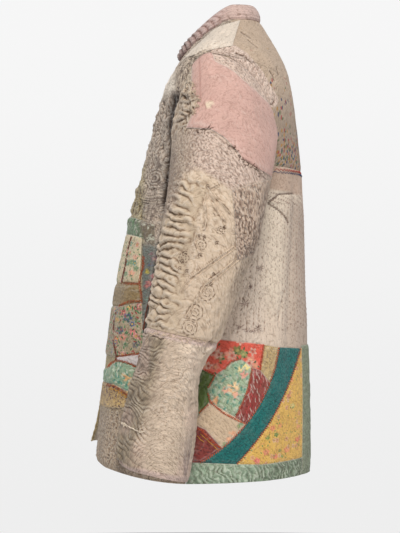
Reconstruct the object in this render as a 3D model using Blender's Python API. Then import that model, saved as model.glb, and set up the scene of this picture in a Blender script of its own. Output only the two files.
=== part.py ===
"""A worn, patched and quilted jacket, standing open as it hangs on a wearer, built panel by panel.

Metres. +Z is up, the front faces -Y and the wearer's left is +X. The origin is the middle of the neck
base, where the garment hangs from the wearer's neck and shoulders. Each cloth piece starts as a flat slab
cut on a grid, which is then wrapped onto the jacket's form. Patches are cut from the same grid and moved
out.
"""

import math

import bmesh
import bpy
from mathutils import Vector

CLOTH = 0.0025  # wall of the quilted panels, in layers
PATCH = 0.0010  # wall of a patch
TOUCH = 1e-6  # points closer than this are the same point
SEAM_GAP = 0.0003  # between pieces that meet or lie on each other
SEAM_LEVELS = 0.003  # half the gap of a seam that runs round, as a share of a level
COLLAR_HEIGHT = 0.024
COLLAR_WALL = 0.0030
COLLAR_LEAN = 0.10  # how far the collar's top edge draws in, as a share of its ring
COLLAR_CORNER = 0.012  # radius of the collar's front corners
ARMHOLE_ANGLE = math.radians(39)  # half of the armhole, as an angle round the body
UNDERARM, SHOULDER_TIP, NECK = 3, 5, 7  # levels of the torso's sections
YOKE_SEAM = 3.5  # level where the embroidered upper back meets the lower back
SLEEVE_HEAD = 1  # level where the sleeve's head meets the upper sleeve
SLEEVE_SEAM = 3  # level where the upper sleeve meets the lower sleeve
SLEEVE_COLUMNS = 24
ARMHOLE_ROWS = SLEEVE_COLUMNS // 2
BACK_COLUMNS = 20
FRONT_COLUMNS = BACK_COLUMNS // 2
COLLAR_COLUMNS = 36
ARM_LEAN = 0.2325  # forward slope of the sleeve, which also tilts its rings
SHOULDER_SLOPE = 0.6
CAP_FULLNESS = 0.85  # how far the sleeve head bulges before it falls
DROP_POWER = 1.4  # how a section's height runs from its side to its front and back
RIGHT_FRONT_FORWARD = 0.013  # how far the right front stands out past the left one at the hem
RIGHT_FRONT_LIFT = 0.026  # how much higher its hem is
BAND_TOP = -0.523  # top of the patchwork block and of the band beside it
BAND_EDGE = ((0.083, BAND_TOP), (0.0975, -0.760))  # the band's left edge, seen from behind: x, z

# Sections of the body from hem to neck, seen from above: half width at the side seams, then the place and
# height of the side, of the middle front and of the middle back, and how square the section is.
TORSO = (
    # half_width, y_side, z_side, y_front, z_front, y_back, z_back, square
    (0.198, -0.060, -0.739, -0.2125, -0.716, 0.1470, -0.735, 2.3),  # hem
    (0.193, -0.048, -0.600, -0.2015, -0.600, 0.1445, -0.600, 2.3),  # hip
    (0.184, -0.030, -0.450, -0.1830, -0.450, 0.1385, -0.450, 2.3),  # waist
    (0.186, -0.008, -0.290, -0.1490, -0.290, 0.1365, -0.290, 2.3),  # underarm
    (0.196, -0.002, -0.170, -0.1200, -0.190, 0.1290, -0.185, 2.3),  # chest
    (0.200, -0.022, -0.054, -0.1000, -0.108, 0.1140, -0.085, 2.2),  # shoulder tip
    (0.140, -0.002, -0.016, -0.0860, -0.075, 0.0935, -0.030, 2.1),  # middle of the shoulder
    (0.075, 0.018, 0.019, -0.0700, -0.0425, 0.0630, 0.022, 2.0),  # neck
)

# Half of the open front, from hem to neck, at the same sections.
OPENING = (0.020, 0.017, 0.014, 0.011, 0.009, 0.007, 0.006, 0.005)

# Sections of the left sleeve below its head, from the upper arm to the hem.
SLEEVE = (
    # x_centre, y_centre, z_centre, half_out, half_deep
    (0.247, -0.0215, -0.330, 0.056, 0.0745),  # upper arm
    (0.247, -0.0440, -0.420, 0.055, 0.0650),  # elbow
    (0.248, -0.0655, -0.500, 0.051, 0.0565),  # joining seam
    (0.248, -0.0850, -0.560, 0.048, 0.0510),  # forearm
    (0.248, -0.0970, -0.620, 0.049, 0.0565),  # wrist
    (0.247, -0.1080, -0.690, 0.049, 0.0570),  # hand
    (0.246, -0.1080, -0.717, 0.048, 0.0525),  # hem
)

# The largest soft folds of the body: a ridge (or trough, below zero) runs from a top level and angle to a
# bottom level and angle. Angles are degrees from the left side seam, towards the back above zero.
BODY_FOLDS = (
    # top_level, top_angle, bottom_level, bottom_angle, half_width, height
    (3.4, -36, 0.6, -38, 0.016, -0.008),
    (3.0, -54, -0.4, -56, 0.028, 0.006),
    (3.6, 62, 0.9, 50, 0.018, -0.005),
    (2.4, 38, -0.6, 34, 0.030, 0.005),
    (3.0, 80, -0.6, 74, 0.030, 0.004),
    (2.6, 104, -0.6, 112, 0.026, -0.005),
    (3.3, 128, -0.6, 138, 0.030, 0.006),
    (3.4, 216, 0.5, 220, 0.018, -0.007),
    (2.8, 236, -0.5, 238, 0.028, 0.005),
)

# The largest folds of a sleeve. Levels run from the armhole (0) to the hem (7), and angles from its outer
# line, towards the back above zero.
SLEEVE_FOLDS = (
    # top_level, top_angle, bottom_level, bottom_angle, half_width, height
    (0.5, 62, 2.4, 40, 0.016, 0.004),
    (2.4, 84, 3.6, 30, 0.012, -0.005),
    (3.0, 70, 4.4, -10, 0.012, 0.005),
    (3.9, 60, 5.2, -40, 0.012, -0.005),
    (4.4, -20, 7.2, -44, 0.015, 0.006),
    (4.6, -62, 7.2, -74, 0.011, -0.005),
)

# The two edges of the long curved patch are arcs, seen from the side: the centre's y and z, the radius.
INNER_ARC = (-0.155, -0.487, 0.248)
OUTER_ARC = (-0.281, -0.4065, 0.427)

# The cloths' colours, as the eye sees them.
CLOTHS = {
    "back_lower": (0.74, 0.67, 0.59),
    "back_yoke": (0.70, 0.62, 0.55),
    "front_left": (0.62, 0.56, 0.50),
    "front_right": (0.62, 0.56, 0.50),
    "sleeve_upper": (0.80, 0.72, 0.63),
    "sleeve_lower": (0.73, 0.66, 0.59),
    "collar": (0.78, 0.66, 0.61),
    "shoulder_patch": (0.87, 0.82, 0.75),
    "sleeve_pink_patch": (0.83, 0.67, 0.62),
    "sleeve_brown_patch": (0.68, 0.58, 0.49),
    "front_mint_patch": (0.54, 0.56, 0.47),
    "front_cream_patch": (0.66, 0.62, 0.52),
    "front_olive_patch": (0.54, 0.48, 0.37),
    "front_blue_patch": (0.50, 0.47, 0.42),
    "front_white_patch": (0.72, 0.68, 0.62),
    "front_flower_patch": (0.56, 0.59, 0.48),
    "front_gold_patch": (0.62, 0.51, 0.38),
    "block_red": (0.70, 0.34, 0.26),
    "block_green": (0.34, 0.35, 0.20),
    "block_mint": (0.64, 0.64, 0.53),
    "block_striped": (0.62, 0.36, 0.30),
    "block_khaki": (0.69, 0.60, 0.46),
    "block_beige": (0.78, 0.69, 0.58),
    "block_burgundy": (0.54, 0.29, 0.25),
    "block_teal": (0.28, 0.43, 0.41),
    "block_yellow": (0.78, 0.65, 0.39),
    "hem_band": (0.56, 0.62, 0.52),
    "back_band": (0.53, 0.56, 0.48),
}


def smooth_row(table, level):
    """A table's columns at a fractional row, on a Catmull-Rom curve through the rows."""
    last = len(table) - 1
    row = min(max(int(level), 0), last - 1)
    t = level - row
    before, here, after, beyond = (table[min(max(row + step, 0), last)] for step in (-1, 0, 1, 2))
    return [
        0.5 * (2 * b + (c - a) * t + (2 * a - 5 * b + 4 * c - d) * t**2 + (3 * b - a - 3 * c + d) * t**3)
        for a, b, c, d in zip(before, here, after, beyond)
    ]


def folds_at(folds, angle, level, radius):
    """How far the folds move the cloth out at an angle (degrees) and level."""
    moved = 0.0
    for top, top_angle, bottom, bottom_angle, half_width, height in folds:
        along = (level - top) / (bottom - top)
        if 0 < along < 1:
            across = (angle - top_angle - along * (bottom_angle - top_angle) + 180) % 360 - 180
            across = math.radians(across) * radius / half_width
            moved += height * math.sin(math.pi * along) ** 0.8 * math.exp(-across * across)
    return moved


def power(value, exponent):
    return math.copysign(abs(value) ** exponent, value)


def torso_form(angle, level):
    """The body's outer form. Angle 0 is the left side seam, 90 degrees the middle back."""
    half_width, y_side, z_side, y_front, z_front, y_back, z_back, square = smooth_row(TORSO, level)
    across, deep = math.cos(angle), math.sin(angle)
    reach, height = (y_back, z_back) if deep > 0 else (y_front, z_front)
    if deep < 0 and across < 0:
        near_hem = max(0.0, 1 - level / 1.6) ** 1.5
        reach -= RIGHT_FRONT_FORWARD * near_hem
        height += RIGHT_FRONT_LIFT * max(0.0, 1 - level) ** 1.5
    share = abs(deep) ** (2 / square)
    return Vector((
        half_width * power(across, 2 / square),
        y_side + (reach - y_side) * share,
        z_side + (height - z_side) * abs(deep) ** DROP_POWER,
    ))


def sleeve_ring(turn, level):
    """A section of the left sleeve below its head. Turn 0 is its outer line, 90 degrees its back."""
    x, y, z, half_out, half_deep = smooth_row(SLEEVE, level - 1)
    back = half_deep * math.sin(turn)
    return Vector((x + half_out * math.cos(turn), y + back, z - ARM_LEAN * back))


def armhole_form(turn):
    return torso_form(ARMHOLE_ANGLE * math.sin(turn), UNDERARM + 1 + math.cos(turn))


def sleeve_form(turn, level):
    """The left sleeve's outer form: its head is a curve from the armhole to the upper arm."""
    if level >= 1:
        return sleeve_ring(turn, level)
    start, end = armhole_form(turn), sleeve_ring(turn, 1)
    pull = CAP_FULLNESS * (end - start).length
    leave = pull * Vector((1, 0, -SHOULDER_SLOPE)).normalized()
    arrive = pull * Vector((0, -ARM_LEAN, -1)).normalized()
    t = level
    return (
        start * (2 * t**3 - 3 * t**2 + 1)
        + leave * (t**3 - 2 * t**2 + t)
        + end * (3 * t**2 - 2 * t**3)
        + arrive * (t**3 - t**2)
    )


def outward(form, angle, level, centre):
    """The form's outward direction, from points a little way round and along it."""
    step = 0.01
    around = form(angle + step, level) - form(angle - step, level)
    along = form(angle, level + step) - form(angle, level - step)
    normal = around.cross(along).normalized()
    return normal if normal.dot(form(angle, level) - centre) > 0 else -normal


def torso_surface(angle, level, inward=0.0):
    point = torso_form(angle, level)
    normal = outward(torso_form, angle, level, Vector((0, 0, point.z - 0.15)))
    fold = folds_at(BODY_FOLDS, math.degrees(angle), level, TORSO[0][0])
    return point + normal * (fold - inward)


def sleeve_surface(turn, level, inward=0.0, side=1):
    level = max(level, 0.0)
    point = sleeve_form(turn, level)
    inside = sleeve_form(turn + math.pi, level)
    safe_level = max(level, 0.02)
    normal = outward(sleeve_form, turn, safe_level, inside if level > 0.5 else Vector((0.16, 0, -0.24)))
    fold = folds_at(SLEEVE_FOLDS, math.degrees(turn), level, SLEEVE[0][4])
    point = point + normal * (fold - inward)
    point.x += SEAM_GAP * 1.5 * max(0.0, 1 - level * 4)
    return Vector((side * point.x, point.y, point.z))


def between(low, high, share):
    return low + (high - low) * share


def armhole_edge(level):
    """How far round the body the armhole reaches at a level, and half the seam gap elsewhere."""
    if UNDERARM < level < SHOULDER_TIP:
        return max(ARMHOLE_ANGLE * math.sqrt(1 - (level - UNDERARM - 1) ** 2), SEAM_GAP)
    return SEAM_GAP * 0.5 / smooth_row(TORSO, level)[0]


def front_edge(level):
    """The angle of the front's free edge from the side seam."""
    half_width, square = (smooth_row(TORSO, level)[k] for k in (0, 7))
    opening = smooth_row([(value,) for value in OPENING], level)[0]
    return math.acos((opening / half_width) ** (square / 2))


def place_back(across, level, inward):
    edge = armhole_edge(level)
    return torso_surface(between(edge, math.pi - edge, across), level, inward)


def place_left_front(across, level, inward):
    return torso_surface(between(-front_edge(level), -armhole_edge(level), across), level, inward)


def place_right_front(across, level, inward):
    angle = between(-front_edge(level), -armhole_edge(level), across)
    return torso_surface(-math.pi - angle, level, inward)


def place_left_sleeve(around, level, inward):
    return sleeve_surface(2 * math.pi * around, level, inward)


def place_right_sleeve(around, level, inward):
    return sleeve_surface(2 * math.pi * around, level, inward, side=-1)


def place_collar(around, height, inward):
    """The standing band: it follows the neck ring from the left front end round the back to the right."""
    end = front_edge(NECK)
    angle = between(-end, math.pi + end, around)
    base = torso_form(angle, NECK)
    middle = Vector((0, torso_form(0, NECK).y * 0.3, base.z))
    radial = (base - middle).normalized()
    from_end = min(around, 1 - around) * 2 * end * TORSO[NECK][0]
    corner = 1 - max(0.0, 1 - from_end / COLLAR_CORNER)
    rise = COLLAR_HEIGHT * (1 - 0.45 * (1 - math.sqrt(1 - (1 - corner) ** 2)))
    bulge = 0.002 * math.sin(math.pi * height)
    lean = COLLAR_LEAN * TORSO[NECK][0] * height * height
    return base + radial * (bulge - lean - inward) + Vector((0, 0, SEAM_GAP * 1.4 + rise * height))


def linear(seen):
    return seen / 12.92 if seen <= 0.04045 else ((seen + 0.055) / 1.055) ** 2.4


def new_object(name, bm, cloth_name, roughness=0.9):
    """Makes the mesh an object of its own with its own cloth."""
    bmesh.ops.recalc_face_normals(bm, faces=bm.faces[:])
    mesh = bpy.data.meshes.new(name)
    bm.to_mesh(mesh)
    bm.free()
    mesh.shade_smooth()
    mesh.set_sharp_from_angle(angle=math.radians(50))
    cloth = bpy.data.materials.new(name)
    cloth.use_nodes = True
    shader = cloth.node_tree.nodes["Principled BSDF"]
    shader.inputs["Base Color"].default_value = (*(linear(part) for part in CLOTHS[cloth_name]), 1)
    shader.inputs["Roughness"].default_value = roughness
    shader.inputs["Metallic"].default_value = 0.0
    mesh.materials.append(cloth)
    made = bpy.data.objects.new(name, mesh)
    bpy.context.scene.collection.objects.link(made)
    return made


def flat_cut(columns, levels):
    """A flat grid of triangles: x is the share across, y the row number."""
    bm = bmesh.new()
    rows = len(levels) - 1
    bmesh.ops.create_grid(bm, x_segments=columns, y_segments=rows, size=0.5)
    for vertex in bm.verts:
        vertex.co = Vector((vertex.co.x + 0.5, (vertex.co.y + 0.5) * rows, 0))
    bmesh.ops.triangulate(bm, faces=bm.faces[:], quad_method="FIXED")
    return bm


def wrap(bm, levels, place, thickness):
    """Moves a flat slab, whose underside is at z -1, onto the jacket."""
    for vertex in bm.verts:
        level = levels[round(vertex.co.y)]
        vertex.co = place(vertex.co.x, level, -vertex.co.z * thickness)


def panel(name, columns, levels, place, cloth_name="", thickness=CLOTH, tube=False):
    """A cloth wall: a flat slab of one cell in thickness, wrapped, and closed round when it is a tube."""
    bm = flat_cut(columns, levels)
    grown = bmesh.ops.extrude_face_region(bm, geom=bm.faces[:])["geom"]
    for vertex in (item for item in grown if isinstance(item, bmesh.types.BMVert)):
        vertex.co.z = -1
    if tube:
        ends = [f for f in bm.faces if all(abs(v.co.x - round(v.co.x)) < TOUCH for v in f.verts)]
        bmesh.ops.delete(bm, geom=ends, context="FACES_ONLY")
    wrap(bm, levels, place, thickness)
    if tube:
        bmesh.ops.remove_doubles(bm, verts=bm.verts[:], dist=TOUCH)
    return new_object(name, bm, cloth_name or name)


def arc(circle, start, end, steps):
    """Points of an arc, seen from the side, between two angles in degrees."""
    y, z, radius = circle
    angles = [math.radians(between(start, end, k / steps)) for k in range(steps + 1)]
    return [(y + radius * math.cos(angle), z + radius * math.sin(angle)) for angle in angles]


def inset(outline, distance):
    """A closed outline's points, moved in by a distance from both sides that meet there."""
    points = [Vector(point) for point in outline]
    turns = sum(a.x * b.y - a.y * b.x for a, b in zip(points, points[1:] + points[:1]))
    moved = []
    for before, here, after in zip(points[-1:] + points[:-1], points, points[1:] + points[:1]):
        first, second = (here - before).normalized(), (after - here).normalized()
        normals = [math.copysign(1, turns) * Vector((-way.y, way.x)) for way in (first, second)]
        corner = (normals[0] + normals[1]).normalized()
        moved.append(here + corner * distance / max(corner.dot(normals[0]), 0.3))
    return moved


def inside(point, outline):
    """Whether a flat point lies within a closed outline."""
    crossings = 0
    for a, b in zip(outline, outline[1:] + outline[:1]):
        if (a.y > point.y) != (b.y > point.y):
            crossings += point.x < a.x + (b.x - a.x) * (point.y - a.y) / (b.y - a.y)
    return crossings % 2 == 1


def cut_out(bm, outline, seen_from):
    """Keeps the cloth inside an outline, drawn as seen from the side (y, z) or from behind (x, z)."""
    axis = 1 if seen_from == "side" else 0
    for a, b in zip(outline, outline[1:] + outline[:1]):
        way = b - a
        beside = []
        for face in bm.faces:
            along = [(Vector((v.co[axis], v.co.z)) - a).dot(way) / way.length_squared for v in face.verts]
            if max(along) > 0 and min(along) < 1:
                beside.append(face)
        geometry = {item for face in beside for item in (face, *face.edges, *face.verts)}
        normal = Vector((0, 0, way.x))
        normal[axis] = -way.y
        point = Vector((0, 0, a.y))
        point[axis] = a.x
        bmesh.ops.bisect_plane(bm, geom=list(geometry), dist=TOUCH, plane_co=point, plane_no=normal)
    outside = []
    for face in bm.faces:
        middle = face.calc_center_median()
        if not inside(Vector((middle[axis], middle.z)), outline):
            outside.append(face)
    bmesh.ops.delete(bm, geom=outside, context="FACES")


def patch(name, columns, levels, place, side=None, behind=None, reach=(0, 1)):
    """A patch that lies on a panel: cut from the panel's own outer faces and moved out."""
    bm = flat_cut(columns, levels)
    beyond = [f for f in bm.faces if not reach[0] < f.calc_center_median().x < reach[1]]
    bmesh.ops.delete(bm, geom=beyond, context="FACES")
    lift = bm.verts.layers.float_vector.new("lift")
    for vertex in bm.verts:
        across, level = vertex.co.x, levels[round(vertex.co.y)]
        vertex.co = place(across, level, -SEAM_GAP)
        vertex[lift] = place(across, level, -SEAM_GAP - PATCH) - vertex.co
    for outline, seen_from in ((side, "side"), (behind, "behind")):
        if outline:
            cut_out(bm, inset(outline, SEAM_GAP * 0.6), seen_from)
    bmesh.ops.triangulate(bm, faces=bm.faces[:])
    grown = bmesh.ops.extrude_face_region(bm, geom=bm.faces[:])["geom"]
    for vertex in (item for item in grown if isinstance(item, bmesh.types.BMVert)):
        vertex.co += vertex[lift]
    return new_object(name, bm, name)


def place_left_shoulder(across, level, inward):
    """The left half of the body, from the free edge of the front over the shoulder to the middle back."""
    if across < 0.5:
        return place_left_front(2 * across, level, inward)
    return place_back(across - 0.5, level, inward)


def place_sleeve_outside(across, level, inward):
    """The left sleeve, from its inner line round its front and its outer line back to its inner line."""
    return place_left_sleeve(across - 0.5, level, inward)


def torso_levels():
    """Rows of the body: even below the underarm and over the shoulder, and beside the armhole in step with
    the sleeve's columns."""
    below = [0, 0.5, 1, 1.5, 2, 2.5]
    beside = [UNDERARM + 1 - math.cos(math.pi * k / ARMHOLE_ROWS) for k in range(ARMHOLE_ROWS + 1)]
    above = [5.5, 6, 6.5, NECK]
    return below + [round(level, 6) for level in beside] + above


def add_front_patches(levels):
    """The patches down the left front, from the chest to the thigh, with shared edges."""
    edge, fold = -0.25, -0.131
    below_mint = [(edge, -0.332), (-0.156, -0.3395), (fold, -0.346)]
    below_cream = [(edge, -0.422), (-0.170, -0.4215), (-0.135, -0.4195)]
    below_olive = [(edge, -0.462), (-0.173, -0.459), (fold, -0.451)]
    below_blue = [(edge, -0.546), (-0.172, -0.541), (-0.129, -0.532)]
    above_flower = [(-0.172, -0.5455), (-0.158, -0.548), (-0.139, -0.554)]
    below_flower = [(edge, -0.588), (-0.178, -0.584), (-0.152, -0.595)]
    above_mint = [(edge, -0.298), (-0.149, -0.311), (-0.110, -0.326), (-0.110, -0.362)]
    outlines = {
        "front_mint_patch": above_mint + below_mint[::-1],
        "front_cream_patch": below_mint + below_cream[::-1],
        "front_olive_patch": below_cream + below_olive[::-1],
        "front_blue_patch": below_olive + below_blue[::-1],
        "front_white_patch": below_blue[1:] + [(-0.129, -0.541)] + above_flower[::-1],
        "front_flower_patch": [(-0.191, -0.562)] + above_flower + [(-0.144, -0.571)] + below_flower[::-1],
        "front_gold_patch": below_flower + [(-0.154, -0.621), (edge, -0.629)],
    }
    for name, outline in outlines.items():
        patch(name, FRONT_COLUMNS, levels, place_left_front, side=outline)


def add_block(levels):
    """The patchwork block low on the left of the back, with the bands that frame it."""
    left, right, floor = -0.10, 0.20, -0.80
    red_corner, mint_corner, stripe_corner = (-0.013, -0.566), (0.046, -0.556), (0.059, -0.560)
    mint_left, mint_low, mint_foot = (-0.025, -0.587), (-0.022, -0.608), (0.019, -0.634)
    beige_corner, burgundy_corner = (-0.050, -0.643), (-0.029, -0.652)
    mint_top = [(0.001, -0.557), (0.012, -0.545), (0.028, -0.540)]
    khaki_arc = arc(INNER_ARC, -8.5, -22, 3)
    stripe_arc = arc(INNER_ARC, -22, -39.5, 3)
    beige_arc = arc(INNER_ARC, -39.5, -52, 3)
    burgundy_arc = arc(INNER_ARC, -52, -61.5, 2)
    outer_arc = arc(OUTER_ARC, -16.5, -45, 6)
    hem_top = [burgundy_arc[-1], outer_arc[-1], (0.060, -0.7105), (0.095, -0.709), (right, -0.704)]
    whole_inner = khaki_arc + stripe_arc[1:] + beige_arc[1:] + burgundy_arc[1:]
    outlines = {
        "block_red": [(left, -0.498), (0.065, -0.518), stripe_corner, mint_corner]
        + mint_top[::-1]
        + [red_corner, (left, -0.530)],
        "block_green": [(left, -0.530), red_corner, mint_left, mint_low, beige_corner, (left, -0.643)],
        "block_mint": [red_corner, *mint_top, mint_corner, (0.038, -0.593), mint_foot, mint_low, mint_left],
        "block_striped": [stripe_corner, *stripe_arc, mint_foot, (0.038, -0.593), mint_corner],
        "block_khaki": [(0.065, -0.518), *khaki_arc, stripe_corner],
        "block_beige": [mint_low, mint_foot, *beige_arc, burgundy_corner, beige_corner],
        "block_burgundy": [(left, -0.643), beige_corner, burgundy_corner, *burgundy_arc, (left, -0.705)],
        "block_teal": whole_inner + outer_arc[::-1],
        "block_yellow": outer_arc + hem_top[2:] + [(right, -0.50)],
        "hem_band": [(left, -0.705), *hem_top, (right, floor), (left, floor)],
    }
    beside_band = [*BAND_EDGE, (right, BAND_EDGE[1][1]), (0.25, -0.30), (BAND_EDGE[0][0] - 0.01, -0.30)]
    for name, outline in outlines.items():
        clip = beside_band if name in ("block_teal", "block_yellow", "hem_band") else None
        patch(name, BACK_COLUMNS, levels, place_back, side=outline, behind=clip, reach=(0, 0.5))
    band = [*BAND_EDGE, (-0.015, floor), (-0.015, -0.610), (0.035, BAND_TOP)]
    patch("back_band", BACK_COLUMNS, levels, place_back, behind=band)


def main():
    for old in list(bpy.data.objects):
        bpy.data.objects.remove(old)
    body = torso_levels()
    yoke_row = min(range(len(body)), key=lambda k: abs(body[k] - YOKE_SEAM))
    below_yoke = body[:yoke_row] + [body[yoke_row] - SEAM_LEVELS]
    above_yoke = [body[yoke_row] + SEAM_LEVELS] + body[yoke_row + 1 :]
    panel("back_lower", BACK_COLUMNS, below_yoke, place_back)
    panel("back_yoke", BACK_COLUMNS, above_yoke, place_back)
    panel("front_left", FRONT_COLUMNS, body, place_left_front)
    panel("front_right", FRONT_COLUMNS, body, place_right_front)
    head = [0, 0.2, 0.4, 0.6, 0.8, SLEEVE_HEAD - SEAM_LEVELS / 2]
    upper = [SLEEVE_HEAD + SEAM_LEVELS, 1.5, 2, 2.5, SLEEVE_SEAM - SEAM_LEVELS]
    lower = [SLEEVE_SEAM + SEAM_LEVELS, 3.5, 4, 4.5, 5, 5.5, 6, 7]
    for side, place in (("left", place_left_sleeve), ("right", place_right_sleeve)):
        panel(f"sleeve_head_{side}", SLEEVE_COLUMNS, head, place, "sleeve_upper", tube=True)
        panel(f"sleeve_upper_{side}", SLEEVE_COLUMNS, upper, place, "sleeve_upper", tube=True)
        panel(f"sleeve_lower_{side}", SLEEVE_COLUMNS, lower, place, "sleeve_lower", tube=True)
    panel("collar", COLLAR_COLUMNS, [0, 0.5, 1], place_collar, thickness=COLLAR_WALL)

    shoulder = [(0.029, 0.014), (0.023, -0.007), (0.014, -0.041), (-0.025, -0.050), (-0.050, -0.057)]
    shoulder += [(-0.068, -0.056), (-0.039, -0.026), (-0.016, -0.006)]
    over_shoulder = [level for level in body if level >= SHOULDER_TIP]
    patch("shoulder_patch", 2 * FRONT_COLUMNS, over_shoulder, place_left_shoulder, side=shoulder)
    pink = [(-0.050, 0.0), (-0.050, -0.116), (-0.041, -0.133), (-0.058, -0.177), (-0.020, -0.181)]
    pink += [(0.001, -0.195), (0.026, -0.223), (0.029, -0.236), (0.046, -0.239)]
    pink += [(0.100, -0.262), (0.100, 0.0)]
    brown = [(0.012, -0.276), (0.100, -0.246), (0.100, -0.360), (0.020, -0.383)]
    for name, outline in (("sleeve_pink_patch", pink), ("sleeve_brown_patch", brown)):
        rows = head[:-1] + [SLEEVE_HEAD] + upper[1:]
        patch(name, SLEEVE_COLUMNS, rows, place_sleeve_outside, side=outline, reach=(0.25, 0.75))
    add_front_patches(body)
    add_block(below_yoke)


main()
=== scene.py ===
"""Dresses the patched jacket: quilted panels, patches, lace and threads over its solids' form.

Metres. +Z is up, the front faces -Y and the wearer's left is +X, as in the solids. Each cloth starts as a
flat grid, is wrapped onto the jacket's form, and gets its folds, quilting and puckers there. What differs
from place to place on a cloth, such as its tint or the dirt and painted shade in its grooves, is kept on
its points and read by its material.
"""

import math

import bmesh
import bpy
import numpy as np
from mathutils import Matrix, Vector
from mathutils.bvhtree import BVHTree


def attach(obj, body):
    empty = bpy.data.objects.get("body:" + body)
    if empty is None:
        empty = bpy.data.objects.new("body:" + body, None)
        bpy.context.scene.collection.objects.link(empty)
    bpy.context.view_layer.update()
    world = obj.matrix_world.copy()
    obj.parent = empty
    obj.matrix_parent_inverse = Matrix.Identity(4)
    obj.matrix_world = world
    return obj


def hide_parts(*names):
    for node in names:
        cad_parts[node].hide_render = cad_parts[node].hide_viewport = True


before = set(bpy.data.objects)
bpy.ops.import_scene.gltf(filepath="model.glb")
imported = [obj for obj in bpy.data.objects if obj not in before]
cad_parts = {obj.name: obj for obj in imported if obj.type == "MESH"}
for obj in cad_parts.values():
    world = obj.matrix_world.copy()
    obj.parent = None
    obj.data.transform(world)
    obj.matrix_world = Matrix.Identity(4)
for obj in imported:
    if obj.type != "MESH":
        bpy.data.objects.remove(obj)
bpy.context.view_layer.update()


# ---------------------------------------------------------------- the jacket's form, as its solids have it

SEAM_GAP = 0.0003
COLLAR_HEIGHT = 0.024
COLLAR_LAP = 0.002
COLLAR_LEAN = 0.10
COLLAR_CORNER = 0.012
ARMHOLE_ANGLE = math.radians(39)
UNDERARM, SHOULDER_TIP, NECK = 3, 5, 7
YOKE_SEAM = 3.5
SLEEVE_SEAM = 3
SLEEVE_HEM = 7
ARM_LEAN = 0.2325
SHOULDER_SLOPE = 0.6
CAP_FULLNESS = 0.85
DROP_POWER = 1.4
RIGHT_FRONT_FORWARD = 0.013
RIGHT_FRONT_LIFT = 0.026
BAND_TOP = -0.523
BAND_EDGE = ((0.083, BAND_TOP), (0.0975, -0.760))
INNER_ARC = (-0.155, -0.487, 0.248)
OUTER_ARC = (-0.281, -0.4065, 0.427)
TOUCH = 1e-6
WELD = 20 * TOUCH  # closes a sleeve along its inner line
MILLIMETRES = 1000  # in a metre
WALL = 0.0022  # walls of the panels
PATCH_WALL = 0.0006
PATCH_LIFT = 0.0010  # a patch's face above its panel's
PATCH_PUFF = 0.0004  # how much more it stands up inside its edge
PATCH_EDGE = 0.004  # how wide that edge is
CUT_MARGIN = 0.012  # how far the uncut cloth reaches past a patch's outline

TORSO = (
    # half_width, y_side, z_side, y_front, z_front, y_back, z_back, square
    (0.198, -0.060, -0.739, -0.2125, -0.716, 0.1470, -0.735, 2.3),  # hem
    (0.193, -0.048, -0.600, -0.2015, -0.600, 0.1445, -0.600, 2.3),  # hip
    (0.184, -0.030, -0.450, -0.1830, -0.450, 0.1385, -0.450, 2.3),  # waist
    (0.186, -0.008, -0.290, -0.1490, -0.290, 0.1365, -0.290, 2.3),  # underarm
    (0.196, -0.002, -0.170, -0.1200, -0.190, 0.1290, -0.185, 2.3),  # chest
    (0.200, -0.022, -0.054, -0.1000, -0.108, 0.1140, -0.085, 2.2),  # shoulder tip
    (0.140, -0.002, -0.016, -0.0860, -0.075, 0.0935, -0.030, 2.1),  # middle of the shoulder
    (0.075, 0.018, 0.019, -0.0700, -0.0425, 0.0630, 0.022, 2.0),  # neck
)
OPENING = ((0.020,), (0.017,), (0.014,), (0.011,), (0.009,), (0.007,), (0.006,), (0.005,))
SLEEVE = (
    # x_centre, y_centre, z_centre, half_out, half_deep
    (0.247, -0.0215, -0.330, 0.056, 0.0745),  # upper arm
    (0.247, -0.0440, -0.420, 0.055, 0.0650),  # elbow
    (0.248, -0.0655, -0.500, 0.051, 0.0565),  # joining seam
    (0.248, -0.0850, -0.560, 0.048, 0.0510),  # forearm
    (0.248, -0.0970, -0.620, 0.049, 0.0565),  # wrist
    (0.247, -0.1080, -0.690, 0.049, 0.0570),  # hand
    (0.246, -0.1080, -0.717, 0.048, 0.0525),  # hem
)
BODY_FOLDS = (
    # top_level, top_angle, bottom_level, bottom_angle, half_width, height
    (3.4, -36, 0.6, -38, 0.016, -0.008),
    (3.0, -54, -0.4, -56, 0.028, 0.006),
    (3.6, 62, 0.9, 50, 0.018, -0.005),
    (2.4, 38, -0.6, 34, 0.030, 0.005),
    (3.0, 80, -0.6, 74, 0.030, 0.004),
    (2.6, 104, -0.6, 112, 0.026, -0.005),
    (3.3, 128, -0.6, 138, 0.030, 0.006),
    (3.4, 216, 0.5, 220, 0.018, -0.007),
    (2.8, 236, -0.5, 238, 0.028, 0.005),
)
SLEEVE_FOLDS = (
    (0.5, 62, 2.4, 40, 0.016, 0.004),
    (2.4, 84, 3.6, 30, 0.012, -0.005),
    (3.0, 70, 4.4, -10, 0.012, 0.005),
    (3.9, 60, 5.2, -40, 0.012, -0.005),
    (4.4, -20, 7.2, -44, 0.015, 0.006),
    (4.6, -62, 7.2, -74, 0.011, -0.005),
)


def metres(millimetres):
    return round(millimetres / MILLIMETRES, 6)


def mm(*numbers):
    """Points, given as two coordinates each in millimetres."""
    lengths = [metres(number) for number in numbers]
    return tuple(zip(lengths[::2], lengths[1::2]))


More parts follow.
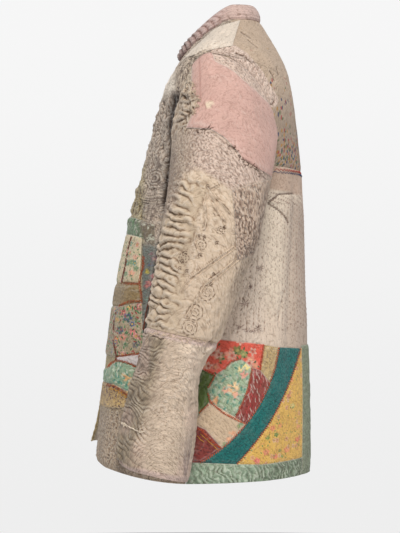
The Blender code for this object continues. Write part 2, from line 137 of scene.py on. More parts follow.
def smooth_row(table, level):
    """A table's columns at fractional rows, on a Catmull-Rom curve through the rows."""
    table, level = np.asarray(table), np.asarray(level, float)
    last = len(table) - 1
    row = np.clip(np.trunc(level).astype(int), 0, last - 1)
    t = (level - row)[..., None]
    a, b, c, d = (table[np.clip(row + step, 0, last)] for step in (-1, 0, 1, 2))
    mixed = 2 * b + (c - a) * t + (2 * a - 5 * b + 4 * c - d) * t**2 + (3 * b - a - 3 * c + d) * t**3
    return np.moveaxis(0.5 * mixed, -1, 0)


def power(value, exponent):
    return np.sign(value) * np.abs(value) ** exponent


def folds_at(folds, angle, level, radius):
    """How far the folds move the cloth out at an angle (degrees) and level."""
    moved = 0.0
    for top, top_angle, bottom, bottom_angle, half_width, height in folds:
        along = np.clip((level - top) / (bottom - top), 0, 1)
        across = (angle - top_angle - along * (bottom_angle - top_angle) + 180) % 360 - 180
        across = np.radians(across) * radius / half_width
        moved = moved + height * np.sin(np.pi * along) ** 0.8 * np.exp(-across * across)
    return moved


def torso_form(angle, level):
    """The body's outer form. Angle 0 is the left side seam, 90 degrees the middle back."""
    half_width, y_side, z_side, y_front, z_front, y_back, z_back, square = smooth_row(TORSO, level)
    across, deep = np.cos(angle), np.sin(angle)
    reach, height = np.where(deep > 0, y_back, y_front), np.where(deep > 0, z_back, z_front)
    right_front = (deep < 0) & (across < 0)
    reach = reach - right_front * RIGHT_FRONT_FORWARD * np.clip(1 - level / 1.6, 0, None) ** 1.5
    height = height + right_front * RIGHT_FRONT_LIFT * np.clip(1 - level, 0, None) ** 1.5
    share = np.abs(deep) ** (2 / square)
    place = (
        half_width * power(across, 2 / square),
        y_side + (reach - y_side) * share,
        z_side + (height - z_side) * np.abs(deep) ** DROP_POWER,
    )
    return np.stack(np.broadcast_arrays(*place), -1)


def sleeve_ring(turn, level):
    """A section of the left sleeve below its head. Turn 0 is its outer line, 90 degrees its back."""
    x, y, z, half_out, half_deep = smooth_row(SLEEVE, level - 1)
    back = half_deep * np.sin(turn)
    return np.stack(np.broadcast_arrays(x + half_out * np.cos(turn), y + back, z - ARM_LEAN * back), -1)


def armhole_form(turn):
    return torso_form(ARMHOLE_ANGLE * np.sin(turn), UNDERARM + 1 + np.cos(turn))


def unit(vectors):
    return vectors / np.maximum(np.linalg.norm(vectors, axis=-1, keepdims=True), 1e-12)


def sleeve_form(turn, level):
    """The left sleeve's outer form: its head is a curve from the armhole to the upper arm."""
    turn, level = np.broadcast_arrays(np.asarray(turn, float), np.asarray(level, float))
    start, end = armhole_form(turn), sleeve_ring(turn, np.ones_like(turn))
    pull = CAP_FULLNESS * np.linalg.norm(end - start, axis=-1, keepdims=True)
    leave = pull * unit(np.array((1, 0, -SHOULDER_SLOPE)))
    arrive = pull * unit(np.array((0, -ARM_LEAN, -1)))
    t = np.clip(level, 0, 1)[..., None]
    head = (
        start * (2 * t**3 - 3 * t**2 + 1)
        + leave * (t**3 - 2 * t**2 + t)
        + end * (3 * t**2 - 2 * t**3)
        + arrive * (t**3 - t**2)
    )
    return np.where(level[..., None] >= 1, sleeve_ring(turn, np.maximum(level, 1)), head)


def outward(form, angle, level, centre):
    """The form's outward direction, from points a little way round and along it."""
    step = 0.01
    around = form(angle + step, level) - form(angle - step, level)
    along = form(angle, level + step) - form(angle, level - step)
    normal = unit(np.cross(around, along))
    facing = np.sum(normal * (form(angle, level) - centre), -1, keepdims=True)
    return np.where(facing > 0, normal, -normal)


def torso_surface(angle, level):
    """The body's cloth with its large folds: places and outward directions."""
    point = torso_form(angle, level)
    normal = outward(torso_form, angle, level, point * (0, 0, 1) - (0, 0, 0.15))
    fold = folds_at(BODY_FOLDS, np.degrees(angle), level, TORSO[0][0])
    return point + normal * fold[..., None], normal


def sleeve_surface(turn, level, side=1):
    level = np.maximum(level, 0.0)
    point = sleeve_form(turn, level)
    inside = np.where(level[..., None] > 0.5, sleeve_form(turn + np.pi, level), (0.16, 0, -0.24))
    normal = outward(sleeve_form, turn, np.maximum(level, 0.02), inside)
    fold = folds_at(SLEEVE_FOLDS, np.degrees(turn), level, SLEEVE[0][4])
    point = point + normal * fold[..., None]
    point[..., 0] += SEAM_GAP * 1.5 * np.clip(1 - level * 4, 0, None)
    return point * (side, 1, 1), normal * (side, 1, 1)


def between(low, high, share):
    return low + (high - low) * share


def armhole_edge(level):
    """How far round the body the armhole reaches at a level, and half the seam gap elsewhere."""
    arch = ARMHOLE_ANGLE * np.sqrt(np.clip(1 - (level - UNDERARM - 1) ** 2, 0, None))
    return np.maximum(arch, SEAM_GAP * 0.5 / smooth_row(TORSO, level)[0])


def front_edge(level):
    """The angle of the front's free edge from the side seam."""
    half_width, square = smooth_row(TORSO, level)[[0, 7]]
    return np.arccos((smooth_row(OPENING, level)[0] / half_width) ** (square / 2))


def place_back(across, level):
    edge = armhole_edge(level)
    return torso_surface(between(edge, np.pi - edge, across), level)


def place_left_front(across, level):
    return torso_surface(between(-front_edge(level), -armhole_edge(level), across), level)


def place_right_front(across, level):
    return torso_surface(-np.pi - between(-front_edge(level), -armhole_edge(level), across), level)


def place_left_shoulder(across, level):
    """The left half of the body, from the free edge of the front over the shoulder to the middle back."""
    front, front_normal = place_left_front(np.minimum(2 * across, 1), level)
    back, back_normal = place_back(np.maximum(across - 0.5, 0), level)
    ahead = (across < 0.5)[..., None]
    return np.where(ahead, front, back), np.where(ahead, front_normal, back_normal)


def place_left_sleeve(across, level):
    """The left sleeve, from its inner line round its front and its outer line back to its inner line."""
    return sleeve_surface(2 * np.pi * (across - 0.5), level)


def place_right_sleeve(across, level):
    return sleeve_surface(2 * np.pi * (across - 0.5), level, side=-1)


def place_collar(around, height):
    """The standing band: it follows the neck ring from the left front end round the back to the right."""
    end = float(front_edge(np.array(NECK)))
    angle = between(-end, math.pi + end, around)
    neck = np.full_like(angle, NECK)
    base = torso_form(angle, neck)
    middle = base * (0, 0, 1) + (0, TORSO[NECK][1] * 0.3, 0)
    radial = unit(base - middle)
    neck_width = TORSO[NECK][0]
    from_end = np.minimum(around, 1 - around) * 2 * end * neck_width
    corner = 1 - np.clip(1 - from_end / COLLAR_CORNER, 0, None)
    rise = COLLAR_HEIGHT * (1 - 0.30 * (1 - np.sqrt(1 - (1 - corner) ** 2)))
    bulge = 0.002 * np.sin(np.pi * height) - COLLAR_LEAN * neck_width * height * height
    bulge = bulge + 0.0008 * (1 - height)
    up = ((rise + COLLAR_LAP) * height - COLLAR_LAP)[..., None] * (0, 0, 1)
    return base + radial * bulge[..., None] + up, radial


# ------------------------------------------------------------------------------- measuring along the cloth


class Form:
    """A side of the jacket that cloth is cut for, with a tape measure along it and up it."""

    STEPS = 81

    def __init__(self, place, low, high, middle=0.5):
        self.place, self.low, self.high = place, low, high
        across, level = np.meshgrid(np.linspace(0, 1, self.STEPS), np.linspace(low, high, self.STEPS))
        points, _ = place(across, level)
        self.width, self.length = np.zeros_like(across), np.zeros_like(across)
        self.width[:, 1:] = np.cumsum(np.linalg.norm(np.diff(points, axis=1), axis=-1), axis=1)
        self.length[1:] = np.cumsum(np.linalg.norm(np.diff(points, axis=0), axis=-1), axis=0)
        self.width -= self.width[:, round(middle * (self.STEPS - 1))][:, None]
        self.points = points

    def measured(self, across, level):
        """Metres along the cloth from its middle column, and from its first row."""
        column = np.clip(across, 0, 1) * (self.STEPS - 1)
        row = np.clip((level - self.low) / (self.high - self.low), 0, 1) * (self.STEPS - 1)
        i, j = (np.minimum(value.astype(int), self.STEPS - 2) for value in (row, column))
        s, t = row - i, column - j
        return [
            (1 - s) * ((1 - t) * table[i, j] + t * table[i, j + 1])
            + s * ((1 - t) * table[i + 1, j] + t * table[i + 1, j + 1])
            for table in (self.width, self.length)
        ]


BACK = Form(place_back, 0, NECK)
FRONT_LEFT = Form(place_left_front, 0, NECK, middle=0)
FRONT_RIGHT = Form(place_right_front, 0, NECK, middle=0)
SLEEVE_LEFT = Form(place_left_sleeve, 0, SLEEVE_HEM)
SLEEVE_RIGHT = Form(place_right_sleeve, 0, SLEEVE_HEM)
SHOULDER_LEFT = Form(place_left_shoulder, SHOULDER_TIP, NECK)
NECKBAND = Form(place_collar, 0, 1)


# ------------------------------------------------------------------------- swells, ridges and distances

CLOUD_CELLS = 61


def cloud(across, along, size, seed):
    """Smooth swells from -1 to 1, about size metres wide."""
    table = np.random.default_rng(seed).uniform(-1, 1, (CLOUD_CELLS, CLOUD_CELLS))
    a, b = np.asarray(across) / size, np.asarray(along) / size
    i, j = np.floor(a).astype(int), np.floor(b).astype(int)
    s, t = (x**3 * (x * (x * 6 - 15) + 10) for x in (a - i, b - j))
    corners = [table[(i + p) % CLOUD_CELLS, (j + q) % CLOUD_CELLS] for p in (0, 1) for q in (0, 1)]
    return (corners[0] * (1 - s) + corners[2] * s) * (1 - t) + (corners[1] * (1 - s) + corners[3] * s) * t


LUMP_CELLS = 31


def lumps(spots, size, seed):
    """Smooth swells from -1 to 1, as wide whichever way the cloth faces. Size is one number or three."""
    table = np.random.default_rng(seed).uniform(-1, 1, (LUMP_CELLS,) * 3)
    places = spots.points / size
    cell = np.floor(places).astype(int)
    share = places - cell
    share = share * share * (3 - 2 * share)
    total = np.zeros(len(places))
    for corner in np.ndindex(2, 2, 2):
        weight = np.prod(np.where(corner, share, 1 - share), axis=-1)
        total += weight * table[tuple(((cell + corner) % LUMP_CELLS).T)]
    return total


def eased(value, low, high):
    """0 below low, 1 above high, and smooth between."""
    t = np.clip((value - low) / (high - low), 0, 1)
    return t * t * (3 - 2 * t)


def puffs(phase, roundness=0.7):
    """Rounded ridges from 0 to 1, one for each whole number of phase, with narrow grooves between."""
    return np.abs(np.sin(np.pi * phase)) ** roundness


def crinkles(across, along, spacing, reach, way, seed, bend=0.9):
    """Uneven ridges from 0 to 1, spacing apart, that run at an angle (degrees) and wander."""
    c, s = math.cos(math.radians(way)), math.sin(math.radians(way))
    run, over = across * c + along * s, along * c - across * s
    wander = cloud(run, over, reach, seed) + 0.5 * cloud(run, over, reach / 2.3, seed + 1)
    height = 0.6 + 0.4 * cloud(run, over, reach * 0.8, seed + 2)
    return puffs((over + bend * spacing * wander) / spacing) * height


def from_line(points, a, b):
    """How far flat points lie from the straight line between two places."""
    way = b - a
    along = np.clip(((points - a) @ way) / max(way @ way, 1e-12), 0, 1)
    return np.linalg.norm(points - a - along[:, None] * way, axis=1)


def depth_inside(points, outline):
    """How far flat points lie inside a closed outline, below zero outside it."""
    corners = np.array(outline, float)
    nearest, crossings = np.full(len(points), np.inf), np.zeros(len(points), int)
    for a, b in zip(corners, np.roll(corners, -1, axis=0)):
        way = b - a
        nearest = np.minimum(nearest, from_line(points, a, b))
        level = (a[1] > points[:, 1]) != (b[1] > points[:, 1])
        if way[1]:
            crossings += level & (points[:, 0] < a[0] + way[0] * (points[:, 1] - a[1]) / way[1])
    return np.where(crossings % 2 == 1, nearest, -nearest)


# ------------------------------------------------------------------------------------ cutting and wrapping


class Spots:
    """The points of one cloth: where they lie on their form, along the tape, and in the room."""

    def __init__(self, form, across, level, rim_rows, tube):
        self.form, self.across, self.level = form, across, level
        self.points, self.normals = form.place(across, level)
        self.u, self.v = form.measured(across, level)
        self.x, self.y, self.z = np.moveaxis(self.points, -1, 0)
        ends = [form.measured(across, np.full_like(level, row))[1] for row in rim_rows]
        self.rim = np.minimum(self.v - ends[0], ends[1] - self.v)
        if not tube:
            sides = [form.measured(np.full_like(across, side), level)[0] for side in (0, 1)]
            self.rim = np.minimum(self.rim, np.minimum(self.u - sides[0], sides[1] - self.u))

    def seen(self, side="side"):
        """The points as seen from the side (y, z) or from behind (x, z)."""
        return np.stack((self.y if side == "side" else self.x, self.z), -1)

    def inside(self, outline, soft):
        """1 within an outline seen from the side, 0 outside it, with a soft edge."""
        return eased(depth_inside(self.seen(), outline), -soft, soft)


def body_rows(low, high, cell):
    """Rows for a body panel: even below and above the armhole, and closer where it turns."""
    below = np.linspace(0, UNDERARM, round(0.45 / cell))[:-1]
    beside = UNDERARM + 1 - np.cos(np.linspace(0, np.pi, round(0.37 / cell)))
    above = np.linspace(SHOULDER_TIP, NECK, round(0.20 / cell))[1:]
    rows = np.concatenate((below, beside, above))
    rows = rows[(rows > low + 0.004) & (rows < high - 0.004)]
    return np.concatenate(([low], rows, [high]))


def even_rows(form, low, high, cell):
    """Evenly spaced rows of a form, about a cell apart."""
    share = (high - low) / (form.high - form.low)
    return np.linspace(low, high, max(2, round(form.length[-1].mean() * share / cell) + 1))


def stops(form, *stretches):
    """Shares across a form for a grid's columns. A stretch is from, to, and how wide its cells are."""
    width = (form.width[:, -1] - form.width[:, 0]).mean()
    shares = []
    for a, b, cell in stretches:
        shares.append(np.linspace(a, b, max(2, round(width * (b - a) / cell)), endpoint=False))
    return np.concatenate([*shares, [stretches[-1][1]]])


def flat_grid(columns, rows):
    """A flat grid of quads that keeps, on each point, its share across a form and its level."""
    bm = bmesh.new()
    spot = bm.verts.layers.float_vector.new("spot")
    bmesh.ops.create_grid(bm, x_segments=len(columns) - 1, y_segments=len(rows) - 1, size=0.5)
    for vertex in bm.verts:
        pairs = zip(vertex.co, (columns, rows))
        column, row = (round((place + 0.5) * (len(shares) - 1)) for place, shares in pairs)
        vertex[spot] = (columns[column], rows[row], 0)
    return bm


def cut_out(bm, outline, seen_from):
    """Keeps the cloth inside an outline, drawn as seen from the side (y, z) or from behind (x, z)."""
    axis = 1 if seen_from == "side" else 0
    corners = [Vector(corner) for corner in outline]
    for a, b in zip(corners, corners[1:] + corners[:1]):
        way = b - a
        along = {v: (Vector((v.co[axis], v.co.z)) - a).dot(way) / way.length_squared for v in bm.verts}
        beside = []
        for face in bm.faces:
            shares = [along[v] for v in face.verts]
            if max(shares) > 0 and min(shares) < 1:
                beside.append(face)
        geometry = {item for face in beside for item in (face, *face.edges, *face.verts)}
        normal = Vector((0, 0, way.x))
        normal[axis] = -way.y
        point = Vector((0, 0, a.y))
        point[axis] = a.x
        bmesh.ops.bisect_plane(bm, geom=list(geometry), dist=TOUCH, plane_co=point, plane_no=normal)
    middles = np.array([face.calc_center_median()[:] for face in bm.faces])
    kept = depth_inside(middles[:, [axis, 2]], outline) > 0
    outside = [face for face, keep in zip(bm.faces, kept) if not keep]
    bmesh.ops.delete(bm, geom=outside, context="FACES")


def covered(form, outlines):
    """The part of a form, as shares across and levels, that holds every outline's inside."""
    across, level = np.meshgrid(np.linspace(0, 1, form.STEPS), np.linspace(form.low, form.high, form.STEPS))
    held = np.ones(across.shape, bool)
    for outline, seen_from in outlines:
        flat = form.points[..., [1 if seen_from == "side" else 0, 2]].reshape(-1, 2)
        held &= (depth_inside(flat, outline) > -CUT_MARGIN).reshape(across.shape)
    return (across[held].min(), across[held].max()), (level[held].min(), level[held].max())


def hollows(mesh, height, rounds=3):
    """How far each point lies below (above zero) or above the cloth around it, in metres."""
    edges = np.zeros(len(mesh.edges) * 2, int)
    mesh.edges.foreach_get("vertices", edges)
    a, b = edges.reshape(-1, 2).T
    count = np.bincount(a, minlength=len(height)) + np.bincount(b, minlength=len(height))
    around = height.copy()
    for _ in range(rounds):
        total = np.bincount(a, around[b], len(height)) + np.bincount(b, around[a], len(height))
        around = 0.5 * around + 0.5 * total / np.maximum(count, 1)
    return around - height


def keep_on_points(mesh, name, values):
    """Keeps one number or one colour for each point, for the material to read."""
    if values.ndim == 1:
        mesh.attributes.new(name, "FLOAT", "POINT").data.foreach_set("value", values.astype(np.float32))
    else:
        colours = np.ones((len(values), 4), np.float32)
        colours[:, :3] = values
        mesh.attributes.new(name, "FLOAT_COLOR", "POINT").data.foreach_set("color", colours.ravel())


pieces = {}


def finish_cloth(
    name, bm, form, rim_rows, relief, paint, material, thickness, marks=None, lift=0.0, edge=None, tube=False
):
    """Wraps a flat cloth onto its form, with its relief and what its material reads, and gives it a wall."""
    mesh = bpy.data.meshes.new(name + "_cloth")
    bm.to_mesh(mesh)
    bm.free()
    count = len(mesh.vertices)
    spot = np.zeros(count * 3, np.float32)
    mesh.attributes["spot"].data.foreach_get("vector", spot)
    across, level = spot.reshape(-1, 3)[:, :2].T.astype(float)
    spots = Spots(form, across, level, rim_rows, tube)
    spots.edge = spots.rim if edge is None else edge(spots)
    height = relief(spots)
    places = spots.points + spots.normals * (height + lift)[:, None]
    mesh.vertices.foreach_set("co", places.astype(np.float32).ravel())
    keep_on_points(mesh, "tint", paint(spots))
    keep_on_points(mesh, "hollow", hollows(mesh, height) * MILLIMETRES)
    keep_on_points(mesh, "edge", spots.edge * MILLIMETRES)
    for mark, shares in (marks(spots) if marks else {}).items():
        keep_on_points(mesh, mark, shares)
    corners = np.zeros(len(mesh.loops), int)
    mesh.loops.foreach_get("vertex_index", corners)
    tape = np.stack((spots.u, spots.v), -1)[corners]
    mesh.uv_layers.new(name="tape").data.foreach_set("uv", tape.astype(np.float32).ravel())
    mesh.attributes.remove(mesh.attributes["spot"])
    bm = bmesh.new()
    bm.from_mesh(mesh)
    if tube:
        bmesh.ops.remove_doubles(bm, verts=bm.verts[:], dist=WELD)
    bmesh.ops.recalc_face_normals(bm, faces=bm.faces[:])
    probe = bm.faces[:][len(bm.faces) // 2]
    middle = probe.calc_center_median()
    nearest = int(np.argmin(np.linalg.norm(places - np.array(middle), axis=1)))
    if probe.normal.dot(Vector(spots.normals[nearest])) < 0:
        bmesh.ops.reverse_faces(bm, faces=bm.faces[:])
    bm.to_mesh(mesh)
    bm.free()
    mesh.shade_smooth()
    mesh.materials.append(material)
    made = bpy.data.objects.new(name + "_cloth", mesh)
    bpy.context.scene.collection.objects.link(made)
    wall = made.modifiers.new("wall", "SOLIDIFY")
    wall.thickness, wall.offset, wall.use_rim = thickness, -1, True
    pieces[name] = made


def panel(name, form, columns, rows, relief, paint, material, marks=None, tube=False):
    bm = flat_grid(columns, rows)
    ends = (rows[0], rows[-1])
    finish_cloth(name, bm, form, ends, relief, paint, material, WALL, marks, tube=tube)


def patch(name, form, outlines, ground, relief, paint, material, levels, cell=0.0021, within=(0, 1)):
    """A patch on a panel: its points lie on the panel's own relief, moved out by its lift."""
    reach, span = covered(form, outlines)
    reach = (max(reach[0], within[0]), min(reach[1], within[1]))
    span = (max(span[0], levels[0]), min(span[1], levels[1]))
    bm = flat_grid(stops(form, (*reach, cell)), even_rows(form, *span, cell))
    spot = bm.verts.layers.float_vector["spot"]
    held = np.array([vertex[spot][:2] for vertex in bm.verts])
    for vertex, place in zip(bm.verts, form.place(held[:, 0], held[:, 1])[0]):
        vertex.co = place
    for outline, seen_from in outlines:
        cut_out(bm, outline, seen_from)

    def edge(spots):
        return np.min([depth_inside(spots.seen(side), outline) for outline, side in outlines], axis=0)

    def whole_relief(spots):
        soft = eased(spots.edge, 0, PATCH_EDGE)
        return ground(spots) + relief(spots) * soft + PATCH_PUFF * soft

    finish_cloth(name, bm, form, span, whole_relief, paint, material, PATCH_WALL, None, PATCH_LIFT, edge)


# ----------------------------------------------------------------------------------------- colours on the points


def dyed(red, green, blue):
    """A cloth's colour as the eye sees it, 0 to 255, turned into light."""
    seen = np.array((red, green, blue)) / 255
    return np.where(seen <= 0.04045, seen / 12.92, ((seen + 0.055) / 1.055) ** 2.4)


def plain(spots, colour):
    return np.tile(dyed(*colour), (len(spots.u), 1))


def toned(colours, *layers):
    """Mixes colours into each point's own, one after another: each a colour and the points' shares of it."""
    for colour, share in layers:
        share = np.clip(share, 0, 1)[:, None]
        colours = colours * (1 - share) + dyed(*colour) * share
    return colours


def mottled(spots, colours, amount, size, seed):
    """Light and dark blotches, from washing and wear."""
    swell = lumps(spots, size, seed) + 0.6 * lumps(spots, size / 3.1, seed + 1)
    return colours * (1 + amount * swell[:, None])


def blotched(spots, colour, amount, size, seed):
    """One colour with light and dark blotches."""
    return mottled(spots, plain(spots, colour), amount, size, seed)


# --------------------------------------------------------------------------- relief and tint of each cloth

SLEEVE_LACE = mm(
    -140, -170, -58, -177, -20, -181, 1, -195, 26, -223, 46, -239, 110, -262, 110, -244, 12, -276,
    -4, -264, -19, -253, -42, -240, -62, -250, -74, -292, -80, -309, -140, -330,
)
SLEEVE_PINK = mm(
    -50, -40, -50, -116, -41, -133, -58, -177, -20, -181, 1, -195, 26, -223, 29, -236, 46, -239,
    100, -262, 100, -160, 72.8, -132.8, 62.1, -124.2, 46.9, -111.2, 29.7, -98.4, 17.9, -86.6, 4, -77.9,
    -13.2, -69, -22, -40,
)
SLEEVE_BROWN = mm(12, -276, 100, -246, 100, -360, 20, -383)
CRUMPLE = mm(-110, -100, -50, -112, -40, -135, -58, -180, -110, -200)
CREAM_EDGE = mm(  # the front edge of the cream sleeve panel, from its foot up
    -115, -492, -110, -461, -102, -422, -93, -362, -89, -337, -80, -309, -74, -292, -62, -250,
)
SLEEVE_SHADOW = mm(  # where the front dips in behind the sleeve
    -168, -693, -149, -589, -127, -512, -116, -447, -110, -410, -106, -376, -102, -353, -95, -328,
    -91, -303, -95, -284, -90, -243, -87, -220, -82, -200, -86, -167, -83, -139, -78, -114,
)
SPRAY = (
    mm(-24, -273, -10, -290, 7, -310),
    mm(-24, -273, -7, -265),
    mm(-22, -279, -12, -300, -4, -319),
    mm(-26, -276, -32, -296, -28, -314, -30, -336),
    mm(-18, -296, -11, -307, 1, -322),
    mm(-68, -432, -53, -410, 16, -360),
    mm(-60, -470, -31, -422, 20, -379),
    mm(-44, -340, -46, -352, -38, -372),
)
ACCENTS = (  # dark thread between the raised lines: partly stitches, partly a painted shadow of the raised lines
    mm(-25, -270.2, -13.4, -285.7, -4.9, -294.3, 5.4, -304.8, 7.6, -313.2),
    mm(-17.6, -309, -13.4, -316.3),
    mm(-9.5, -306.8, -1, -320.6),
    mm(-31.2, -323.7, -29, -336.3, -34.3, -338.5),
    mm(-19, -400, -10, -409),
    mm(-6, -400, -26, -413),
)
KNOTS = mm(
    -25, -270, 1, -333, -11, -357, -30, -348, -39, -347, -60, -373, -64, -385, -36, -376, -68, -396,
    -57, -400, -16, -405, -20, -420,
)
ROSETTES = (  # y, z, radius
    (-0.005, -0.337, 0.007), (-0.036, -0.359, 0.010), (-0.062, -0.379, 0.009), (0.034, -0.328, 0.016),
    (-0.027, -0.433, 0.014), (-0.045, -0.463, 0.014), (-0.054, -0.487, 0.013), (-0.047, -0.205, 0.009),
    (-0.030, -0.208, 0.008), (-0.011, -0.214, 0.009), (0.012, -0.236, 0.008), (-0.068, -0.226, 0.008),
)
BACK_CREASES = (
    mm(72, -291, 90, -276, 115, -273),
    mm(72, -291, 88, -300, 100, -310, 106, -321),
    mm(101, -432, 89, -480),
)
YOKE_CREASES = (
    mm(30, -9, 38, -14, 45, -19), mm(41, -24, 48, -31, 56, -38),
    mm(76, -77, 80, -83, 83, -91), mm(88, -66, 91, -79),
    mm(64, -130, 74, -134, 83, -126), mm(20, -52, 34, -56, 46, -68),
)
CRUMPLE_FOLDS = (  # sharp folds of the crushed cloth
    mm(-67.2, -132.8, -56.3, -137.1, -47.8, -132.8, -34.8, -126.4),
    mm(-65, -145.8, -52, -152.2, -36.9, -150),
    mm(-73.5, -165.2, -62.8, -161.9, -54.1, -152.2),
    mm(-56.3, -124.2, -50.9, -141.4, -56.3, -158.7),
    mm(-69.3, -175.9, -56.3, -173.7, -43.4, -160.8),
    mm(-43.4, -132.8, -28.4, -141.4, -17.6, -136),
    mm(-64, -119, -59, -129, -48, -124),
    mm(-70, -150, -60, -156, -58, -168),
    mm(-48, -144, -40, -156, -46, -168),
)


def off_path(spots, path):
    """How far each point lies from a path, both seen from the side."""
    corners = np.array(path, float)
    return np.min([from_line(spots.seen(), a, b) for a, b in zip(corners, corners[1:])], axis=0)


def lines(spots, paths, width):
    """1 on any of the paths, and 0 a width or two away."""
    return np.max([np.exp(-((off_path(spots, path) / width) ** 2)) for path in paths], axis=0)


def dots(spots, places, radius):
    return np.max([np.exp(-(np.hypot(spots.y - y, spots.z - z) / radius) ** 2) for y, z in places], axis=0)


def rosettes(spots, places, pitch=0.0048):
    """Stitched rings round each place: how high, from 0 to 1, and where they lie."""
    high, held = np.zeros(len(spots.y)), np.zeros(len(spots.y))
    stretch, shift = 1 + 0.16 * lumps(spots, 0.012, 35), 0.0012 * lumps(spots, 0.006, 36)
    for y, z, radius in places:
        away = np.hypot(spots.y - y, spots.z - z) * stretch + shift
        inside = 1 - eased(away, radius - 0.001, radius + 0.001)
        high = np.where(inside > held, 0.5 + 0.5 * np.cos(math.tau * away / pitch), high)
        held = np.maximum(held, inside)
    return high, held


def curls(spots, size, turns, seed):
    """Loops and nested ovals of raised thread, from 0 in the gaps to 1."""
    swell = lumps(spots, size, seed) + 0.45 * lumps(spots, size / 2, seed + 1)
    return 0.5 + 0.5 * np.sin(math.tau * turns * swell)


def lace_loops(spots):
    return curls(spots, 0.0064, 1.05, 61)


def ringed_loops(spots):
    """Loops as of lace, with stitched rings among them."""
    rings, ringed = rosettes(spots, ROSETTES)
    return np.where(ringed > 0.5, rings, lace_loops(spots))


def gaps(height):
    """The dark gaps between raised loops."""
    return 1 - eased(height, 0.08, 0.42)


ASKEW = np.array(((0.64, 0.60, -0.48), (-0.77, 0.50, -0.40), (0.0, 0.62, 0.78)))


def facets(spots, size, seed):
    """Cloth crushed into flat pieces that meet in sharp creases, from -1 to 1."""
    table = np.random.default_rng(seed).uniform(-1, 1, (LUMP_CELLS,) * 3)
    shifts = [lumps(spots, size * 1.7, seed + k) for k in (1, 2, 3)]
    places = spots.points @ ASKEW / size + 0.5 * np.stack(shifts, -1)
    corner = np.floor(places).astype(int)
    share = places - corner
    order, each = np.argsort(-share, axis=1), np.arange(len(share))
    height = table[tuple((corner % LUMP_CELLS).T)]
    for axis in order.T:
        ahead = corner.copy()
        ahead[each, axis] += 1
        rise = table[tuple((ahead % LUMP_CELLS).T)] - table[tuple((corner % LUMP_CELLS).T)]
        height = height + rise * share[each, axis]
        corner = ahead
    return height


def quilt(spots, seed, spacing=0.0085, across_rows=False, deep=0.0009, stitch=0.011):
    """Puffs between rows of running stitches, each stitch pulling a dimple in the row."""
    width = spots.across * (spots.form.width[:, -1] - spots.form.width[:, 0]).mean()
    over, along = (spots.v, width) if across_rows else (width, spots.v)
    phase = over / spacing
    row = np.floor(phase + 0.5)
    dimple = 0.5 + 0.5 * np.cos(math.tau * (along / stitch + 0.37 * row))
    near_row = np.abs(np.cos(np.pi * phase)) ** 3
    return deep * (1 - near_row * (0.35 + 0.65 * dimple)) * (0.8 + 0.3 * lumps(spots, 0.02, seed + 2))


def settled(spots, height, seam=0.0012):
    """Brings the cloth down to its form at its rims, with a dip along the seams."""
    laced = 0.9 * eased(spots.z, -0.145, -0.130) * eased(spots.y, -0.070, -0.052) * (spots.x > 0.08)
    seam = seam * (1 - laced)  # on the shoulder, lace covers the seam
    return height * eased(spots.rim, 0, 0.007) - seam * np.exp(-((np.clip(spots.rim, 0, None) / 0.005) ** 2))


def sleeve_lace(spots, soft):
    """Lace below the pink patch, and round the head of the sleeve above it."""
    back = eased(spots.y, 0.02, 0.03) * eased(spots.z, -0.155, -0.140)
    head = np.maximum(eased(spots.z, -0.116, -0.108), back)
    return np.maximum(spots.inside(SLEEVE_LACE, soft), head)


def stitched_strip(spots):
    """The densely stitched strip of the sleeve in front of the pink patch."""
    return (1 - eased(spots.y, -0.054, -0.047)) * eased(spots.z, -0.140, -0.120)


def dense_loops(spots):
    """Where the back of the sleeve has dense embroidery, below the elbow patch."""
    return eased(spots.y, 0.0, 0.02) * eased(-spots.z, 0.30, 0.34)


def lace_band(spots):
    """The band of lace over the shoulder."""
    return eased(LACE_REACH - off_path(spots, LACE_BAND), 0, 0.002)


def behind_line(spots, line):
    """How far each point lies behind a line that runs up the side."""
    y, z = zip(*line)
    return spots.y - np.interp(spots.z, z, y)


def degrees_round(spots):
    """How far round a sleeve each point lies: 0 is its outer line, 90 its back."""
    return 360 * (spots.across - 0.5)


def from_ends(spots):
    """The share of the collar between each point and the nearer front end."""
    return np.minimum(spots.across, 1 - spots.across)


def sleeve_zones(spots):
    """Shares of the left upper sleeve that are lace, crushed, patched and rippled."""
    inset = behind_line(spots, CREAM_EDGE) + 0.005 * lumps(spots, 0.018, 43)
    tall = eased(-spots.z, 0.252, 0.268) * (1 - eased(-spots.z, 0.484, 0.500))
    rippled = eased(inset, -0.024, -0.010) * (1 - eased(inset, 0.036, 0.050)) * tall
    patched = np.maximum(spots.inside(SLEEVE_PINK, 0.002), spots.inside(SLEEVE_BROWN, 0.002))
    lace = sleeve_lace(spots, 0.003) * (1 - patched)
    crumple = spots.inside(CRUMPLE, 0.008)
    return {"inset": inset, "rippled": rippled, "patched": patched, "lace": lace, "crumple": crumple}


RIPPLE_LENGTHS = np.random.default_rng(44).uniform(0.016, 0.034, 97)


def pillows(spots, inset):
    """Uneven swells stacked down the sleeve's front edge, each of its own length and broken in places."""
    phase = (-spots.z - 0.36 * np.clip(inset, -0.02, 0.05)) / 0.0118
    phase = phase + 0.55 * lumps(spots, 0.030, 41) + 0.38 * lumps(spots, 0.011, 42)
    row = np.floor(phase)
    long = RIPPLE_LENGTHS[row.astype(int) % len(RIPPLE_LENGTHS)]
    reach = eased(inset, -0.018, -0.004) * (1 - eased(inset, 0.6 * long, 1.5 * long))
    broken = 0.45 + 0.55 * eased(lumps(spots, np.array((0.012, 0.009, 0.007)), 46), -0.55, 0.25)
    return np.sin(np.pi * (phase - row) ** 1.4) ** 0.7 * reach * broken + 0.30 * facets(spots, 0.0085, 45)


